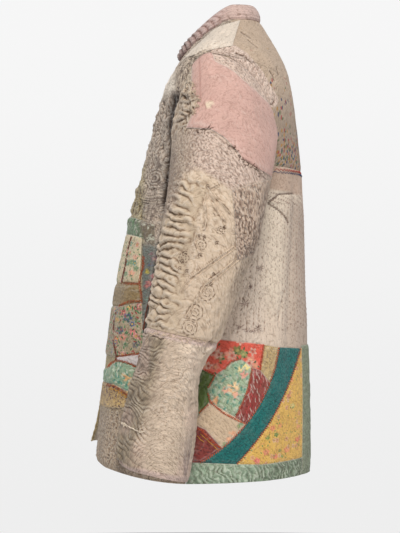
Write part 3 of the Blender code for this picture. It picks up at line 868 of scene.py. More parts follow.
def sleeve_left_relief(spots):
    zone = sleeve_zones(spots)
    rings, ringed = rosettes(spots, ROSETTES)
    spun = (0.0011 + 0.0009 * stitched_strip(spots)) * lace_loops(spots)
    spun = spun * (1 - ringed) + 0.0011 * rings * ringed
    cream = 0.0007 * curls(spots, 0.0080, 1.2, 66) + 0.0012 * curls(spots, 0.013, 0.9, 63)
    cream = cream + 0.0010 * facets(spots, 0.016, 64) + 0.0016 * lines(spots, SPRAY, 0.0013)
    cream = cream * (1 - ringed) + 0.0009 * rings * ringed - 0.0016 * dots(spots, KNOTS, 0.0020)
    dense = dense_loops(spots)
    cream = cream * (1 - dense) + 0.0012 * lace_loops(spots) * dense
    height = cream * (1 - zone["lace"]) * (1 - zone["rippled"]) + spun * zone["lace"]
    height = height + (0.0064 * pillows(spots, zone["inset"]) - 0.0030) * zone["rippled"]
    height = height + 0.0014 * lumps(spots, 0.04, 71)
    crushed = 0.0034 * facets(spots, 0.0120, 51) + 0.0022 * facets(spots, 0.0060, 52)
    crushed = crushed - 0.0026 * lines(spots, CRUMPLE_FOLDS, 0.0013)
    above_folds = [[(y + 0.002, z + 0.002) for y, z in path] for path in CRUMPLE_FOLDS]
    height = height + (crushed + 0.0024 * lines(spots, above_folds, 0.0014)) * zone["crumple"]
    height = height * (1 - 0.9 * zone["patched"]) + 0.0010 * lumps(spots, 0.035, 73) * zone["patched"]
    return settled(spots, height)


def low_front(spots):
    """The crinkled front of the lower sleeve."""
    return 1 - eased(np.abs(degrees_round(spots) + 66), 34, 66)


def sleeve_low_marks(spots):
    return {"front": low_front(spots)}


def front_crinkles(spots):
    """Fine crinkles across the front of the lower sleeve, slanting further down."""
    slanting = eased(-spots.z, 0.555, 0.590)
    level = crinkles(spots.y, spots.z, 0.0068, 0.019, -10, 81, bend=1.0)
    slanted = crinkles(spots.y, spots.z, 0.0066, 0.019, -34, 87, bend=0.9)
    return level * (1 - slanting) + slanted * slanting


def sleeve_low_relief(spots):
    """Crinkles: across, then slanting down the front of the sleeve, then bending round to follow the hem."""
    turn, front = degrees_round(spots), low_front(spots)
    low = eased(-spots.z, 0.622, 0.650)
    across = front_crinkles(spots) * (0.7 + 0.5 * lumps(spots, 0.016, 88))
    round_hem = np.hypot(spots.y + 0.070, 1.1 * (spots.z + 0.612)) / 0.0088 + 0.8 * lumps(spots, 0.020, 83)
    round_hem = puffs(round_hem) * (0.62 + 0.38 * lumps(spots, 0.016, 84))
    rings, ringed = rosettes(spots, ((-0.101, -0.673, 0.014),), 0.0052)
    round_hem = round_hem * (1 - ringed) + 0.6 * rings * ringed
    height = 0.0044 * across * (1 - low) * front + 0.0042 * round_hem * low * (0.30 + 0.70 * front)
    height = height + 0.0016 * facets(spots, 0.012, 89) * (0.6 + 0.4 * front)
    height = height + 0.0018 * curls(spots, 0.012, 0.8, 85) * (1 - front) * (1 - low)
    unfolded = 0.9 * folds_at(SLEEVE_FOLDS[1:4], turn, spots.level, SLEEVE[0][4])
    tucked = eased(turn, 5, 75) * (1 - eased(turn, 110, 150)) * (1 - eased(-spots.z, 0.54, 0.68))
    return settled(spots, height, 0.0014) - (0.007 * tucked + unfolded) * eased(spots.rim, 0, 0.03)


def sleeve_right_relief(spots):
    height = 0.0020 * crinkles(spots.u, spots.v, 0.012, 0.035, 20, 91) + quilt(spots, 92, 0.010, True)
    return settled(spots, height)


BLOCK_SPAN = mm(-100, -498, 65, -518, 300, -520, 300, -800, -100, -800)


def back_relief(spots):
    height = quilt(spots, 101, 0.0092, False, 0.0005, 0.0092)
    height = height + 0.0008 * curls(spots, 0.030, 1.0, 104) * eased(spots.y, 0.085, 0.045)
    height = height + 0.0016 * lumps(spots, 0.06, 103)
    height = height - 0.0016 * lines(spots, BACK_CREASES, 0.0022) * (spots.x > 0)
    beside = (1 - eased(spots.y, 0.050, 0.085)) * eased(-spots.z, 0.30, 0.34)
    height = height + 0.0022 * crinkles(spots.y, spots.z, 0.0080, 0.024, 78, 105) * beside
    patched = spots.inside(BLOCK_SPAN, 0.004) * eased(spots.x, -0.02, -0.01)
    return settled(spots, height * (1 - 0.9 * patched))


def yoke_loops(spots):
    return curls(spots, 0.0070, 1.1, 113)


def yoke_relief(spots):
    height = 0.0010 * crinkles(spots.u, spots.v, 0.0085, 0.02, -30, 111) + 0.0012 * lumps(spots, 0.05, 112)
    band = lace_band(spots)
    height = height * (1 - band) + 0.0012 * yoke_loops(spots) * band
    return settled(spots, height - 0.0020 * lines(spots, YOKE_CREASES, 0.0016) * (spots.x > 0))


def near_shoulder(spots):
    """Where the upper front's embroidery is finer."""
    return eased(spots.z, -0.125, -0.110)


def upper_front(spots):
    """Where the front is embroidered, above its patches."""
    return 1 - eased(-spots.z, 0.315, 0.330)


def behind_sleeve(spots):
    """How far a point of the front lies behind the line where it dips in beside the sleeve."""
    return behind_line(spots, SLEEVE_SHADOW)


def front_loops(spots):
    """Embroidery of the upper front, finer toward the shoulder."""
    fine = near_shoulder(spots)
    return curls(spots, 0.0115, 1.1, 121) * (1 - fine) + curls(spots, 0.0062, 1.05, 122) * fine


def low_loops(spots):
    return curls(spots, 0.010, 1.1, 126)


def below_patches(spots):
    """The foot of the front, below its patches."""
    return eased(-spots.z, 0.615, 0.625)


def calm_edge(spots):
    """The pale edge of the upper front, with little embroidery."""
    high = eased(spots.z + 0.012 * lumps(spots, 0.03, 255), -0.128, -0.100)
    return high * (1 - eased(spots.y, -0.084, -0.072))


def front_marks(spots):
    return {"calm": calm_edge(spots)}


def front_left_relief(spots):
    busy, fine, inset = upper_front(spots), near_shoulder(spots), behind_sleeve(spots)
    pleated = eased(-spots.z, 0.262, 0.275) * busy * eased(spots.y, -0.135, -0.125)
    eye, eyed = rosettes(spots, ((-0.111, -0.249, 0.017),), 0.0050)
    height = (0.0020 - 0.0010 * fine) * front_loops(spots)
    height = height + (0.0050 - 0.0036 * fine) * facets(spots, 0.015, 123)
    height = height * (1 - eyed) + 0.0022 * eye * eyed
    height = height * (1 - pleated) + 0.0026 * crinkles(spots.y, spots.z, 0.0056, 0.02, -12, 124) * pleated
    height = height * busy + 0.0006 * curls(spots, 0.02, 0.8, 125)
    height = height + 0.0018 * low_loops(spots) * below_patches(spots)
    dip = 0.0060 * eased(inset, -0.008, 0.001) * eased(spots.z, -0.62, -0.50) * eased(-spots.z, 0.105, 0.13)
    return settled(spots, height - dip, 0.0008)


def front_right_relief(spots):
    height = 0.0014 * crinkles(spots.u, spots.v, 0.010, 0.025, 15, 131) + 0.0010 * lumps(spots, 0.05, 132)
    return settled(spots, height + quilt(spots, 133, 0.010, True, 0.0006), 0.0008)


def collar_relief(spots):
    """Bulging slanted puffs toward the front ends, and stitch rows round the back."""
    front = 1 - eased(from_ends(spots), 0.17, 0.26)
    front = front * (1 - 0.40 * eased(from_ends(spots), 0.05, 0.16))
    puff = puffs((spots.u + 0.35 * spots.v) / 0.0132 + 0.2 * lumps(spots, 0.03, 141), 0.6)
    height = 0.0056 * puff * front + quilt(spots, 142, 0.0075, True, 0.0010, 0.008) * (1 - front)
    return height * eased(spots.rim, -0.002, 0.005)


def patch_puckers(seed, way):
    """The relief of a patch that its stitches pucker one way (degrees)."""

    def relief(spots):
        return 0.0010 * crinkles(spots.u, spots.v, 0.009, 0.02, way, seed) + 0.0003

    return relief


def band_relief(spots):
    return 0.0009 * curls(spots, 0.02, 0.9, 152)


def hem_ridges(spots):
    slant = (spots.u + 0.45 * spots.v) / 0.0085
    slant = slant + 0.9 * lumps(spots, 0.03, 151) + 0.80 * lumps(spots, 0.008, 153)
    return 0.5 - 0.5 * np.cos(math.tau * (slant % 1) ** 1.3)


def hem_band_relief(spots):
    ridges = 0.0022 * hem_ridges(spots) * (0.65 + 0.6 * lumps(spots, 0.016, 154))
    return ridges + 0.0012 * facets(spots, 0.008, 155)


def sleeve_left_tint(spots):
    zone, lace = sleeve_zones(spots), sleeve_lace(spots, 0.006)
    ringed = rosettes(spots, ROSETTES)[1]
    head = eased(spots.y, -0.04, -0.02) * eased(spots.z, -0.165, -0.150)
    looped = np.maximum(zone["lace"] * (1 - 0.45 * head), 0.4 * ringed)
    # painted shade: darker in the low facets of the crushed cloth, where its relief dips
    crushed = 0.4 * eased(-facets(spots, 0.0060, 52), 0.1, 0.6) * zone["crumple"]
    # distance from the spray's raised lines, for the painted shadow beside them
    beside = np.min([off_path(spots, path) for path in SPRAY], axis=0)
    colours = toned(
        plain(spots, (201, 180, 157)),
        ((199, 178, 155), eased(-spots.z, 0.34, 0.47)),
        ((190, 170, 146), zone["rippled"]),
        ((186, 166, 146), lace),
        ((208, 184, 168), lace * eased(spots.y, -0.07, -0.03)),
        ((180, 160, 138), zone["crumple"]),
        # painted shade in the crushed cloth's low facets and along its sharp folds
        ((112, 92, 74), crushed),
        ((84, 64, 48), 0.8 * lines(spots, CRUMPLE_FOLDS, 0.0010) * zone["crumple"]),
        ((118, 94, 80), 0.42 * gaps(ringed_loops(spots)) * looped),
        ((212, 192, 166), 0.85 * stitched_strip(spots) * (1 - zone["crumple"])),
        ((112, 88, 76), 0.45 * gaps(lace_loops(spots)) * dense_loops(spots)),
        # painted shadow in a narrow band beside the raised lines of the spray
        ((138, 114, 92), 0.6 * eased(beside, 0.0008, 0.0018) * (1 - eased(beside, 0.0018, 0.0034))),
        ((96, 74, 60), 0.8 * dots(spots, KNOTS, 0.0018)),
        ((120, 100, 84), 0.6 * eased(-zone["inset"], 0.008, 0.022) * eased(-spots.z, 0.19, 0.23)),
    )
    return mottled(spots, colours, 0.07, 0.03, 201)


def sleeve_low_tint(spots):
    turn = degrees_round(spots)
    crinkled = front_crinkles(spots) + 0.25 * lumps(spots, 0.006, 215)
    crinkly = low_front(spots) * (1 - eased(-spots.z, 0.630, 0.650))
    streaks = eased(lumps(spots, np.array((0.009, 0.006, 0.030)), 214), 0.0, 0.35)
    colours = toned(
        plain(spots, (207, 186, 164)),
        ((162, 145, 121), 1 - eased(turn + 6 * lumps(spots, 0.03, 212), -36, -14)),
        ((214, 186, 170), 0.6 * eased(lumps(spots, 0.045, 213), -0.1, 0.4)),
        # painted shade in the grooves of the front crinkles, and a painted highlight on their crests
        ((88, 72, 56), 0.60 * crinkly * (1 - eased(crinkled, 0.05, 0.42))),
        ((214, 196, 170), 0.45 * crinkly * eased(crinkled, 0.62, 0.95)),
        ((120, 104, 108), 0.5 * streaks * eased(turn, 30, 60) * eased(spots.level, 5.0, 5.8)),
        # painted light: lifts the middle of the sleeve below its seam, where the tucked cloth falls into
        # shade
        ((234, 214, 192), 0.6 * eased(spots.y, -0.080, -0.050) * eased(spots.z, -0.60, -0.57)),
        ((206, 182, 170), 1 - eased(spots.rim, 0.006, 0.012)),
    )
    return mottled(spots, colours, 0.07, 0.03, 211)


def sleeve_right_tint(spots):
    return blotched(spots, (200, 180, 158), 0.08, 0.04, 221)


def back_tint(spots):
    strip = eased(spots.z + 0.12 * np.clip(spots.y - 0.05, 0, 0.1), -0.268, -0.262)
    beside = (1 - eased(spots.y, 0.050, 0.080)) * eased(-spots.z, 0.30, 0.36)
    colours = toned(
        plain(spots, (208, 189, 170)),
        ((218, 202, 182), 1 - eased(np.abs(spots.z + 0.36), 0.06, 0.14)),
        ((190, 164, 144), strip),
        # painted shade along the back's creases
        ((90, 70, 60), 0.7 * lines(spots, BACK_CREASES[:2], 0.0014) * (spots.x > 0)),
        ((210, 192, 176), 0.6 * beside),
        ((178, 158, 142), 0.85 * eased(spots.y, 0.085, 0.125) * eased(-spots.z, 0.27, 0.30)),
    )
    return mottled(spots, colours, 0.06, 0.05, 231)


LACE_BAND = mm(-61, -50, -37, -44, -13, -44, 11, -47, 31, -60, 51, -82, 68, -108, 78, -124)
LACE_REACH = 0.012


def yoke_tint(spots):
    band = lace_band(spots)
    colours = toned(
        plain(spots, (185, 163, 141)),
        ((156, 137, 119), eased(-spots.z, 0.07, 0.18)),
        ((222, 198, 182), band),
        ((140, 112, 98), 0.45 * gaps(yoke_loops(spots)) * band),
        # painted shade along the yoke's creases
        ((88, 68, 54), 0.7 * lines(spots, YOKE_CREASES, 0.0010) * (spots.x > 0)),
    )
    return mottled(spots, colours, 0.06, 0.02, 241)


def front_tint(spots):
    calm, inset = calm_edge(spots), behind_sleeve(spots)
    ahead = (1 - eased(spots.y, -0.135, -0.120)) * (1 - eased(spots.z, -0.14, -0.11))
    looped = 0.62 * upper_front(spots) * gaps(front_loops(spots))
    beside = eased(spots.y, -0.133, -0.130) * eased(-spots.z, 0.345, 0.365) * (spots.x > 0)
    shadow = (0.50 + 0.5 * eased(spots.z, -0.60, -0.45)) * eased(inset, -0.008, -0.001)
    shadow = shadow * eased(-spots.z, 0.105, 0.12) * (1 - eased(inset, 0.006, 0.016)) * (spots.x > 0)
    colours = toned(
        plain(spots, (188, 171, 154)),
        ((196, 178, 158), eased(spots.z, -0.115, -0.105)),
        ((246, 234, 218), 0.9 * calm),
        ((172, 156, 118), ahead),
        ((84, 64, 54), looped * (1 + 0.35 * near_shoulder(spots) - 1.1 * calm)),
        ((98, 80, 68), 0.5 * below_patches(spots) * gaps(low_loops(spots))),
        # painted shade: a blue-grey band where the front turns in beside the sleeve
        ((110, 116, 110), beside * (1 - eased(spots.y, -0.095, -0.080))),
        ((176, 156, 134), 1 - eased(spots.z, -0.64, -0.60)),
        ((46, 31, 20), shadow),
    )
    return mottled(spots, colours, 0.10, 0.03, 251)


def front_right_tint(spots):
    """Plain cloth of the same family, with the olive strip along its edge."""
    olive = eased(spots.x + 0.004 * lumps(spots, 0.03, 254), -0.055, -0.045)
    return mottled(spots, toned(plain(spots, (186, 170, 152)), ((172, 156, 118), olive)), 0.08, 0.03, 252)


def collar_tint(spots):
    colours = toned(
        plain(spots, (194, 168, 158)),
        # painted shade: darker toward the rounded front ends, where the collar turns away
        ((178, 150, 144), 1 - eased(from_ends(spots), 0.16, 0.26)),
        ((134, 110, 106), 1 - eased(from_ends(spots), 0.03, 0.15)),
    )
    return mottled(spots, colours, 0.05, 0.02, 261)


def one_tint(colour, seed=301):
    """The tint of a cloth that has one colour."""

    def tint(spots):
        return blotched(spots, colour, 0.07, 0.02, seed)

    return tint


# ---------------------------------------------------------------------------- node trees for the materials


class Dye:
    """Builds one node tree, with short names for what a cloth's material needs."""

    def __init__(self, tree):
        self.tree = tree

    def node(self, kind, inputs=None, **settings):
        made = self.tree.nodes.new(kind)
        for setting, value in settings.items():
            setattr(made, setting, value)
        for key, value in (inputs or {}).items():
            self.feed(made.inputs[key], value)
        return made

    def feed(self, socket, value):
        if isinstance(value, bpy.types.NodeSocket):
            self.tree.links.new(value, socket)
        else:
            socket.default_value = value

    def sum(self, operation, a, b=0.0, c=0.0):
        return self.node("ShaderNodeMath", {0: a, 1: b, 2: c}, operation=operation).outputs[0]

    def times(self, a, b):
        return self.sum("MULTIPLY", a, b)

    def plus(self, a, b):
        return self.sum("ADD", a, b)

    def minus(self, a, b):
        return self.sum("SUBTRACT", a, b)

    def ratio(self, a, b):
        return self.sum("DIVIDE", a, b)

    def from_half(self, value):
        """How far a number lies from one half."""
        return self.sum("ABSOLUTE", self.minus(value, 0.5))

    def radius(self, x, y):
        return self.sum("SQRT", self.plus(self.times(x, x), self.times(y, y)))

    def vector(self, operation, a, b=(0, 0, 0), scale=1.0):
        return self.node("ShaderNodeVectorMath", {0: a, 1: b, 3: scale}, operation=operation).outputs[0]

    def moved(self, vector, shift):
        return self.vector("ADD", vector, shift)

    def scaled(self, vector, amount):
        """A direction made longer or shorter, or a colour made lighter or darker."""
        return self.vector("SCALE", vector, scale=amount)

    def eased(self, value, low, high, start=0.0, end=1.0):
        inputs = {"Value": value, "From Min": low, "From Max": high, "To Min": start, "To Max": end}
        return self.node("ShaderNodeMapRange", inputs, interpolation_type="SMOOTHSTEP").outputs["Result"]

    def fading(self, value, low, high):
        """1 below low, 0 above high."""
        return self.eased(value, low, high, 1.0, 0.0)

    def mix(self, share, a, b):
        return self.node("ShaderNodeMix", {0: share, 6: a, 7: b}, data_type="RGBA").outputs[2]

    def over(self, colour, shade, *shares):
        """A shade laid over a colour, by the product of its shares."""
        share = shares[0]
        for other in shares[1:]:
            share = self.times(share, other)
        return self.mix(share, colour, shade)

    def noise(self, vector, scale, detail=2.0, rough=0.5, distortion=0.0):
        inputs = {"Vector": vector, "Scale": scale, "Detail": detail, "Roughness": rough}
        return self.node("ShaderNodeTexNoise", {**inputs, "Distortion": distortion}).outputs["Fac"]

    def wander(self, vector, scale, shift):
        """Two swells of noise, as a direction."""
        return self.join(self.noise(vector, scale), self.noise(self.moved(vector, shift), scale))

    def cells(self, vector, randomness=1.0):
        inputs = {"Vector": vector, "Scale": 1.0, "Randomness": randomness}
        return self.node("ShaderNodeTexVoronoi", inputs, voronoi_dimensions="2D").outputs

    def split(self, vector):
        return tuple(self.node("ShaderNodeSeparateXYZ", {0: vector}).outputs)

    def join(self, x, y, z=0.0):
        return self.node("ShaderNodeCombineXYZ", {0: x, 1: y, 2: z}).outputs[0]

    def turned(self, vector, angle):
        inputs = {"Vector": vector, "Angle": angle}
        return self.node("ShaderNodeVectorRotate", inputs, rotation_type="Z_AXIS").outputs[0]

    def kept(self, name, output="Fac"):
        """What the cloth keeps on its points under a name."""
        return self.node("ShaderNodeAttribute", attribute_name=name).outputs[output]

    def group(self, tree, **inputs):
        made = self.node("ShaderNodeGroup")
        made.node_tree = tree
        for key, value in inputs.items():
            self.feed(made.inputs[key], value)
        return made.outputs

    def scattered(self, given, randomness):
        """Places strewn a size apart: the way from the nearest, two random numbers, and if it is there."""
        scaled = self.scaled(given["Vector"], self.ratio(1.0, given["Size"]))
        cell = self.cells(scaled, randomness)
        pick, keep, spin = self.split(cell["Color"])
        there = self.fading(keep, self.minus(given["Share"], 0.01), self.plus(given["Share"], 0.01))
        return self.vector("SUBTRACT", scaled, cell["Position"]), pick, spin, there

    def closed(self, out, **values):
        """Ends a node group with what it gives out."""
        for name, value in values.items():
            self.feed(out[name], value)
        return self.tree


def new_group(name, inputs, outputs):
    """An empty node group with named sockets. An input's default tells its kind."""
    tree = bpy.data.node_groups.new(name, "ShaderNodeTree")
    for label, default in inputs.items():
        kind = "NodeSocketFloat" if isinstance(default, float) else "NodeSocketVector"
        if isinstance(default, tuple) and len(default) == 4:
            kind = "NodeSocketColor"
        tree.interface.new_socket(name=label, in_out="INPUT", socket_type=kind).default_value = default
    for label, kind in outputs.items():
        tree.interface.new_socket(name=label, in_out="OUTPUT", socket_type=kind)
    dye = Dye(tree)
    return dye, dye.node("NodeGroupInput").outputs, dye.node("NodeGroupOutput").inputs


NUMBER, COLOUR = "NodeSocketFloat", "NodeSocketColor"
ORIGIN = (0.0, 0.0, 0.0)


def weave_group():
    """Over-and-under threads, as a height from 0 to 1."""
    dye, given, out = new_group("weave", {"Vector": ORIGIN, "Spacing": 0.0016}, {"Height": NUMBER})
    bend = dye.scaled(dye.wander(given["Vector"], 90.0, (3, 1, 2)), 0.0012)
    x, y, _ = dye.split(dye.moved(given["Vector"], bend))
    turns = dye.ratio(math.tau / 2, given["Spacing"])
    across, along = (dye.sum("SINE", dye.times(way, turns)) for way in (x, y))
    return dye.closed(out, Height=dye.sum("MULTIPLY_ADD", dye.times(across, along), 0.5, 0.5))


def running_group():
    """Rows of running stitches: the thread's face, and the dip that each row pulls into the cloth."""
    inputs = {"Vector": ORIGIN, "Gap": 0.006, "Length": 0.005, "Share": 0.5, "Thick": 0.0007}
    outputs = {"Thread": NUMBER, "Dip": NUMBER, "Pick": NUMBER}
    dye, given, out = new_group("running_stitches", {**inputs, "Wobble": 0.0012}, outputs)
    shift = dye.vector("SUBTRACT", dye.wander(given["Vector"], 70.0, (7, 5, 3)), (0.5, 0.5, 0))
    wobble = dye.times(given["Wobble"], 3.0)
    x, y, _ = dye.split(dye.moved(given["Vector"], dye.vector("MULTIPLY", shift, dye.join(wobble, wobble))))
    rows = dye.ratio(y, given["Gap"])
    row = dye.sum("FLOOR", rows)
    away = dye.times(dye.from_half(dye.sum("FRACT", rows)), given["Gap"])
    start = dye.node("ShaderNodeTexWhiteNoise", {"W": row}, noise_dimensions="1D").outputs["Value"]
    steps = dye.plus(dye.ratio(x, given["Length"]), start)
    stitch = dye.join(dye.sum("FLOOR", steps), row)
    pick = dye.node("ShaderNodeTexWhiteNoise", {"Vector": stitch}).outputs["Value"]
    reach = dye.times(given["Share"], dye.eased(pick, 0.0, 1.0, 0.36, 0.60))
    on = dye.fading(dye.from_half(dye.sum("FRACT", steps)), dye.minus(reach, 0.06), dye.plus(reach, 0.06))
    narrow = dye.fading(away, dye.times(given["Thick"], 0.35), dye.times(given["Thick"], 0.75))
    near = dye.fading(away, 0.0, dye.times(given["Gap"], 0.45))
    dip = dye.times(near, dye.eased(on, 0.0, 1.0, 0.45, 1.0))
    return dye.closed(out, Thread=dye.times(on, narrow), Dip=dip, Pick=pick)


def crinkle_group():
    """Fine wandering creases: height from 0 in the grooves to 1."""
    inputs = {"Vector": ORIGIN, "Size": 0.006, "Stretch": 2.5, "Angle": 0.0}
    dye, given, out = new_group("crinkles", inputs, {"Height": NUMBER})
    x, y, z = dye.split(dye.turned(given["Vector"], given["Angle"]))
    x = dye.ratio(x, dye.times(given["Size"], given["Stretch"]))
    vector = dye.join(x, dye.ratio(y, given["Size"]), z)
    large = dye.from_half(dye.noise(vector, 1.0, 1.0, 0.5, 0.5))
    small = dye.from_half(dye.noise(vector, 2.3, 1.0, 0.5, 0.3))
    return dye.closed(out, Height=dye.eased(dye.plus(large, dye.times(small, 0.6)), 0.0, 0.20))


def curls_group():
    """Small curly loops, as embroidered stipple and lace have: height from 0 to 1, and the dark specks."""
    inputs = {"Vector": ORIGIN, "Size": 0.006, "Rings": 1.6}
    dye, given, out = new_group("curls", inputs, {"Height": NUMBER, "Specks": NUMBER})
    bent = dye.scaled(given["Vector"], dye.ratio(1.0, given["Size"]))
    bent = dye.moved(bent, dye.scaled(dye.wander(bent, 0.9, (5, 9, 1)), 1.4))
    away = dye.cells(bent)["Distance"]
    rings = dye.sum("SINE", dye.times(dye.times(away, given["Rings"]), math.tau))
    specks = dye.times(dye.fading(rings, -0.95, -0.35), dye.eased(dye.noise(bent, 1.7, 1.0), 0.42, 0.60))
    return dye.closed(out, Height=dye.sum("MULTIPLY_ADD", rings, 0.5, 0.5), Specks=specks)


def sprigs_group():
    """Scattered flowers: petals round a heart, with a number that picks each one's colour."""
    inputs = {"Vector": ORIGIN, "Size": 0.02, "Share": 0.7, "Petals": 5.0, "Width": 0.34}
    outputs = {"Petals": NUMBER, "Heart": NUMBER, "Pick": NUMBER, "Away": NUMBER}
    dye, given, out = new_group("sprigs", inputs, outputs)
    local, pick, spin, there = dye.scattered(given, 0.75)
    x, y, _ = dye.split(local)
    away = dye.radius(x, y)
    angle = dye.plus(dye.sum("ARCTAN2", y, x), dye.times(spin, 6.0))
    lobes = dye.sum("COSINE", dye.times(angle, given["Petals"]))
    rim = dye.times(given["Width"], dye.sum("MULTIPLY_ADD", lobes, 0.24, 0.82))
    petals = dye.times(dye.fading(away, dye.times(rim, 0.86), rim), there)
    heart = dye.fading(away, dye.times(given["Width"], 0.24), dye.times(given["Width"], 0.36))
    return dye.closed(out, Petals=petals, Heart=dye.times(heart, there), Pick=pick, Away=away)


def dabs_group():
    """Scattered short dabs, such as leaves or single stitches, each turned its own way."""
    inputs = {"Vector": ORIGIN, "Size": 0.006, "Share": 0.6, "Long": 0.42, "Wide": 0.16, "Turn": 0.0}
    dye, given, out = new_group("dabs", {**inputs, "Spread": 3.0}, {"Dab": NUMBER})
    local, _, spin, there = dye.scattered(given, 1.0)
    angle = dye.plus(given["Turn"], dye.times(dye.minus(spin, 0.5), given["Spread"]))
    x, y, _ = dye.split(dye.turned(local, angle))
    away = dye.radius(dye.ratio(x, given["Long"]), dye.ratio(y, given["Wide"]))
    return dye.closed(out, Dab=dye.times(dye.fading(away, 0.7, 1.05), there))


def wear_and_shade_group():
    """Age and painted shade: dirt and painted shade in the hollows, paler raised folds, faint stains, and a
    rubbed cut edge.
    """
    inputs = {"Colour": (0.5, 0.5, 0.5, 1.0), "Vector": ORIGIN, "Dirt": 0.45, "Rub": 0.12, "Edge": 0.0}
    dye, given, out = new_group("worn", inputs, {"Colour": COLOUR})
    hollow, edge = dye.kept("hollow"), dye.kept("edge")
    # painted shade and dirt: the colour is darkened in the hollows of the cloth's relief
    dirt_and_shade_colour = dye.vector("MULTIPLY", given["Colour"], (0.36, 0.27, 0.20))
    stains = dye.eased(dye.noise(given["Vector"], 22.0, 4.0, 0.6), 0.50, 0.72, 0.0, 0.10)
    colour = dye.over(given["Colour"], dirt_and_shade_colour, dye.eased(hollow, 0.12, 0.75), given["Dirt"])
    colour = dye.over(colour, (0.85, 0.80, 0.72, 1), dye.eased(hollow, 0.0, -0.40), given["Rub"])
    colour = dye.over(colour, (0.30, 0.24, 0.17, 1), stains)
    colour = dye.over(colour, (0.72, 0.66, 0.58, 1), dye.fading(edge, 0.2, 1.8), given["Edge"])
    flecks = dye.eased(dye.noise(given["Vector"], 420.0, 1.0), 0.35, 0.65, 0.95, 1.05)
    return dye.closed(out, Colour=dye.scaled(colour, flecks))


WEAVE, RUNNING, CRINKLE, CURLS = weave_group(), running_group(), crinkle_group(), curls_group()
SPRIGS, DABS, WEAR_AND_SHADE = sprigs_group(), dabs_group(), wear_and_shade_group()


def new_material(name):
    """A material, the tool that builds its tree, and its shader's inputs."""
    material = bpy.data.materials.new(name)
    material.use_nodes = True
    return material, Dye(material.node_tree), material.node_tree.nodes["Principled BSDF"].inputs


def cloth_material(name, pattern, rub=0.15, edge=0.0):
    """A cotton cloth. The pattern takes the tree, tape and tint, and gives a colour and a height (mm)."""
    material, dye, shader = new_material(name)
    tape = dye.node("ShaderNodeUVMap", uv_map="tape").outputs["UV"]
    colour, height = pattern(dye, tape, dye.kept("tint", "Color"))
    # wear, stains, and dirt with painted shade in the hollows
    worn = dye.group(WEAR_AND_SHADE, Colour=colour, Vector=tape, Dirt=0.75, Rub=rub, Edge=edge)["Colour"]
    woven = dye.group(WEAVE, Vector=tape, Spacing=0.0016)["Height"]
    slub = dye.noise(tape, 260.0)
    total = dye.plus(height, dye.plus(dye.times(woven, 0.10), dye.times(slub, 0.22)))
    bump = dye.node("ShaderNodeBump", {"Strength": 1.0, "Distance": 0.001, "Height": total})
    dye.feed(shader["Base Color"], worn)
    dye.feed(shader["Normal"], bump.outputs["Normal"])
    dye.feed(shader["Roughness"], dye.eased(slub, 0.2, 0.8, 0.82, 0.93))
    shader["Specular IOR Level"].default_value = 0.22
    shader["Sheen Weight"].default_value = 0.10
    shader["Sheen Roughness"].default_value = 0.6
    return material


def dashes(dye, tape, colour, height, gap, length, thread, angle, amount):
    """Adds rows of running stitches to a cloth's colour and height."""
    rows = dye.group(RUNNING, Vector=dye.turned(tape, angle), Gap=gap, Length=length, Thick=0.0009)
    shown = dye.times(rows["Thread"], dye.times(amount, dye.eased(rows["Pick"], 0.0, 0.6, 0.45, 1.0)))
    return dye.mix(shown, colour, thread), dye.minus(height, dye.times(rows["Dip"], 0.5))


def creased(dye, tape, colour, size, stretch, angle, share):
    """Painted shade along thin creases in a colour, and the grooves that go with them."""
    creases = dye.group(CRINKLE, Vector=tape, Size=size, Stretch=stretch, Angle=angle)["Height"]
    dark = dye.vector("MULTIPLY", colour, (0.30, 0.22, 0.16))
    patchy = dye.eased(dye.noise(tape, 70.0), 0.40, 0.60, 0.3, share)
    return dye.over(colour, dark, dye.fading(creases, 0.02, 0.42), patchy), creases


def curled(dye, tape, size, rings):
    """Curly loops: their height and the dark specks between them."""
    return dye.group(CURLS, Vector=tape, Size=size, Rings=rings)


def dabs(dye, tape, size, share, long, wide, spread=3.0, turn=0.0):
    """Dabs a size apart on a share of the places, 1 on each dab and 0 between."""
    shape = {"Long": long, "Wide": wide, "Turn": turn, "Spread": spread}
    return dye.group(DABS, Vector=tape, Size=size, Share=share, **shape)["Dab"]


def strewn(dye, tape, colour, kinds, shift, amounts, size, *shape):
    """Dabs of several kinds over a colour. A kind is a shade and its share of the places."""
    start, x, y = shift
    for place, (shade, share) in enumerate(kinds):
        moved = dye.moved(tape, (start + x * place, y * place, 0))
        colour = dye.over(colour, shade, dabs(dye, moved, size, share, *shape), *amounts)
    return colour


def back_pattern(dye, tape, tint):
    colour, creases = creased(dye, tape, tint, 0.011, 1.6, 1.3, 0.40)
    specks = dabs(dye, tape, 0.0075, 0.30, 0.16, 0.09)
    return dye.over(colour, (0.20, 0.13, 0.12, 1), specks, 0.6), dye.times(creases, 0.6)


def yoke_pattern(dye, tape, tint):
    lace, sprigs, loops = dye.kept("lace"), dye.kept("sprigs"), curled(dye, tape, 0.0045, 1.5)
    colour, creases = creased(dye, tape, tint, 0.007, 1.8, -0.5, 0.55)
    colour = dye.over(colour, (0.20, 0.15, 0.11, 1), loops["Specks"], lace, 0.55)
    shades = ((0.30, 0.03, 0.03, 1), (0.02, 0.03, 0.09, 1), (0.07, 0.11, 0.04, 1), (0.38, 0.19, 0.04, 1))
    kinds = [(shade, sprigs) for shade in shades]
    colour = strewn(dye, tape, colour, kinds, (0, 0.31, 0.17), (0.92,), 0.012, 0.30, 0.22, 2.2, 1.4)
    return colour, dye.plus(dye.times(dye.times(loops["Height"], lace), 0.6), dye.times(creases, 0.6))


